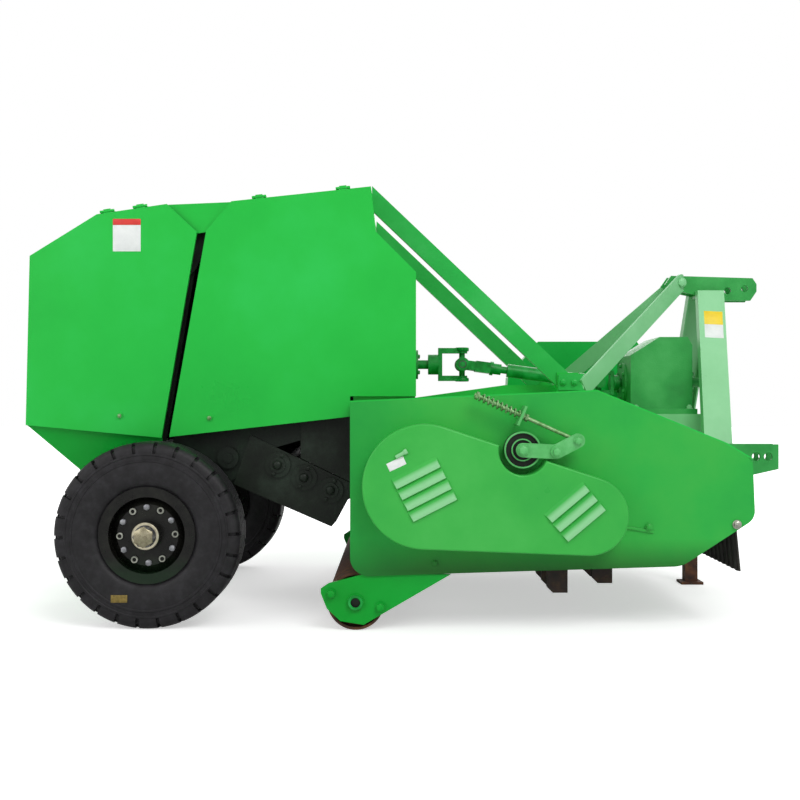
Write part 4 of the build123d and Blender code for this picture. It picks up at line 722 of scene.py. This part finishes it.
# ---------------------------------------------------------------- hitch and mast
BRACE_HEAD = (1001, 50, 1163)
LUG_FACE = 418
LUG_BOLTS = ((508, 784), (546, 784))
for side, sign in SIDES:
    out = (0, sign, 0)
    x, y, z = BRACE_HEAD
    # The brace's bolt takes the mast's painted highlight.
    copies_joined(bolt, f"brace_bolt_{side}", "frame", "mast_highlight_enamel", [mm(x, sign * y, z)], out, 1.5)
    feet = [mm(x, sign * LUG_FACE, z) for x, z in LUG_BOLTS]
    copies_joined(nut, f"lug_bolts_{side}", "frame", "strut_enamel", feet, out)

# Blank sticker on the outer face of the near post: yellow over white.
POST_WAY = Vector((42, 281, 680)).normalized()
POST_FACE = Vector((0, -680, 281)).normalized()
POST_ACROSS = POST_WAY.cross(POST_FACE)
STICKER_MIDDLE = mm(1098, -138.8, 1000)
STICKER_WIDTH = 68
STICKER_HALF = 54
post_turn = Matrix((POST_ACROSS, POST_WAY, POST_FACE)).transposed().to_4x4()
for name, finish, up in (("foot", "white_film", -0.5), ("head", "yellow_film", 0.5)):
    part = block((0, up * STICKER_HALF, 0.2), (STICKER_WIDTH, STICKER_HALF, 1.0), 0.3)
    part.matrix_world = Matrix.Translation(STICKER_MIDDLE) @ post_turn
    settle(part, f"post_sticker_{name}", "frame", finish)

# ---------------------------------------------------------------- throat between crusher and chamber
# Side sheets close the throat above the conveyor; a folded sill closes the foot of the front door.
THROAT = ((-384, 527), (-206, 441.5), (-206, 715), (-384, 690))
THROAT_Y = 470.3
THROAT_T = 3
SILL = ((-204, 708), (2, 716), (2, 744), (-204, 744))
SILL_Y = 528
SILL_T = 2.5
for side, sign in SIDES:
    # The throat sheets are dark with painted shade.
    throat = sheet(THROAT, sign * THROAT_Y, sign * THROAT_T)
    settle(throat, f"throat_sheet_{side}", "frame", "chute_shade_enamel")
    sill = sheet(SILL, sign * SILL_Y, sign * SILL_T)
    settle(sill, f"door_sill_{side}", "frame", "panel_enamel")


# ---------------------------------------------------------------- gearboxes
def bolt_circle(count, x, z, radius):
    """Places in millimetres round an axis along X in the machine's middle plane."""
    turns = [math.tau * (i + 0.5) / count for i in range(count)]
    return [mm(x, radius * math.cos(turn), z + radius * math.sin(turn)) for turn in turns]


GEARBOX_Z = 790
CHAMBER_BOX_Z = 858
for name, x, away in (("rear", 786, -1), ("front", 1038, 1)):
    places = bolt_circle(6, x, GEARBOX_Z, 62)
    copies_joined(bolt, f"gearbox_cap_bolts_{name}", "frame", "case_enamel", places, (away, 0, 0), 0.7)
foot_places = [mm(x, y, 692) for x in (812, 1006) for y in (-148, 148)]
# The stand's nuts take the mast's painted highlight.
copies_joined(nut, "gearbox_foot_nuts", "frame", "mast_highlight_enamel", foot_places, (0, 0, 1))
flange_places = bolt_circle(4, 19, CHAMBER_BOX_Z, 42)
copies_joined(bolt, "chamber_box_bolts", "frame", "case_enamel", flange_places, (1, 0, 0), 0.65)

# ---------------------------------------------------------------- rear cardan joint
# Forged bosses, caps and circlips on the ends of its cross.
JOINT_X = 185
JOINT_Z = 858
CROSS_SIDE = 47               # from the joint's middle to the bosses left and right
CROSS_TOP = 62                # and to those above and below
boss = turned([(16, -12), (24, -12), (26, -9), (26, 0), (24, 2), (15, 2), (14, 1), (14, -10)], 36, ring=True)
cap = turned([(13.5, -2), (13.5, 0.4), (12.4, 1.2), (1, 1.2)], 32)
circlip = turned([(11.2, 0.9), (13.8, 0.9), (13.8, 2.2), (11.2, 2.2)], 32, ring=True)
masters += [boss, cap, circlip]
CROSS_TRIM = (
    ("bosses", boss, "shaft_enamel"), ("caps", cap, "shaft_enamel"), ("clips", circlip, "dark_steel"),
)
for name, master, finish in CROSS_TRIM:
    made = []
    for sign in (-1, 1):
        made.append(put(copy_of(master), mm(JOINT_X, sign * CROSS_SIDE, JOINT_Z), (0, sign, 0)))
        made.append(put(copy_of(master), mm(JOINT_X, 0, JOINT_Z + sign * CROSS_TOP), (0, 0, sign)))
    settle(joined(made), f"cardan_{name}", "frame", finish)

# ---------------------------------------------------------------- drive guard on the far side
RIVET_FACE = 867.5
GUARD_RIVETS = ((600, 950), (960, 950), (1000, 830), (500, 300), (600, 330))
guard_places = [mm(x, RIVET_FACE, z) for x, z in GUARD_RIVETS]
copies_joined(rivet, "guard_rivets", "frame", "cover_enamel", guard_places, (0, 1, 0), 0.4)

for master in masters:
    bpy.data.objects.remove(master)

# ---------------------------------------------------------------- stage, lights and camera
FLOOR_SIDE = 60.0
FLOOR_DROP = 0.0005
# Around the machine the floor keeps its shadow; further out it brightens to plain white.
SHADOW_REACH = 1.2
WHITE_FROM = 4.0
NEAR_GLOW = 0.5
only()
bpy.ops.mesh.primitive_plane_add(size=FLOOR_SIDE, location=(0, 0, -FLOOR_DROP))
floor = bpy.context.object
floor.name = "floor"
floor_paint, floor_tree, floor_shader, floor_place = new_material("pale_floor")
floor_shader.inputs["Base Color"].default_value = linear("#F2F2F2")
floor_shader.inputs["Roughness"].default_value = 0.9
floor_shader.inputs["Emission Color"].default_value = (1, 1, 1, 1)
reach = add_node(floor_tree, "ShaderNodeVectorMath", {"operation": "LENGTH"}, {"Vector": floor_place})
glow = add_node(
    floor_tree, "ShaderNodeMapRange",
    {"From Min": SHADOW_REACH, "From Max": WHITE_FROM, "To Min": NEAR_GLOW, "To Max": 1.0},
    {"Value": reach.outputs["Value"]},
)
floor_path = add_node(floor_tree, "ShaderNodeLightPath")
floor_seen = add_node(floor_tree, "ShaderNodeMath", {"operation": "MULTIPLY"})
floor_tree.links.new(floor_path.outputs["Is Camera Ray"], floor_seen.inputs[0])
floor_tree.links.new(glow.outputs["Result"], floor_seen.inputs[1])
floor_tree.links.new(floor_seen.outputs[0], floor_shader.inputs["Emission Strength"])
floor.data.materials.append(floor_paint)

# The world is white where it is seen, also in metal, and plain light elsewhere.
SKY_LIGHT = 0.45
world = bpy.data.worlds.new("studio")
scene.world = world
world.use_nodes = True
sky = world.node_tree
background = sky.nodes["Background"]
background.inputs["Color"].default_value = (1, 1, 1, 1)
path = add_node(sky, "ShaderNodeLightPath")
seen = add_node(sky, "ShaderNodeMath", {"operation": "MAXIMUM"})
sky.links.new(path.outputs["Is Camera Ray"], seen.inputs[0])
sky.links.new(path.outputs["Is Transmission Ray"], seen.inputs[1])
seen_glossy = add_node(sky, "ShaderNodeMath", {"operation": "MAXIMUM"})
sky.links.new(seen.outputs[0], seen_glossy.inputs[0])
sky.links.new(path.outputs["Is Glossy Ray"], seen_glossy.inputs[1])
level = add_node(
    sky, "ShaderNodeMapRange", {"To Min": SKY_LIGHT, "To Max": 1.0}, {"Value": seen_glossy.outputs[0]}
)
sky.links.new(level.outputs["Result"], background.inputs["Strength"])

LAMPS = (   # name, place, aimed at, size in metres, watts
    ("key_lamp", (2.2, -5.5, 5.0), (0.0, 0.0, 0.7), 3.5, 215.0),
    ("fill_lamp", (-4.5, -4.5, 3.0), (0.0, 0.0, 0.7), 4.0, 80.0),
    ("back_lamp", (0.5, 5.5, 4.0), (0.0, 0.0, 0.7), 4.0, 90.0),
)
for name, place, target, size, watts in LAMPS:
    lamp = bpy.data.lights.new(name, "AREA")
    lamp.size = size
    lamp.energy = watts
    holder = bpy.data.objects.new(name, lamp)
    scene.collection.objects.link(holder)
    holder.location = place
    holder.rotation_euler = (Vector(target) - Vector(place)).to_track_quat("-Z", "Y").to_euler()

camera = bpy.data.cameras.new("camera")
camera.lens = 52.2
camera.sensor_width = 36.0
camera.shift_y = 0.00375
eye = bpy.data.objects.new("camera", camera)
scene.collection.objects.link(eye)
eye.location = (-0.049, -4.380, 0.713)
eye.rotation_euler = (math.radians(90), 0, 0)
scene.camera = eye
scene.view_settings.view_transform = "Standard"
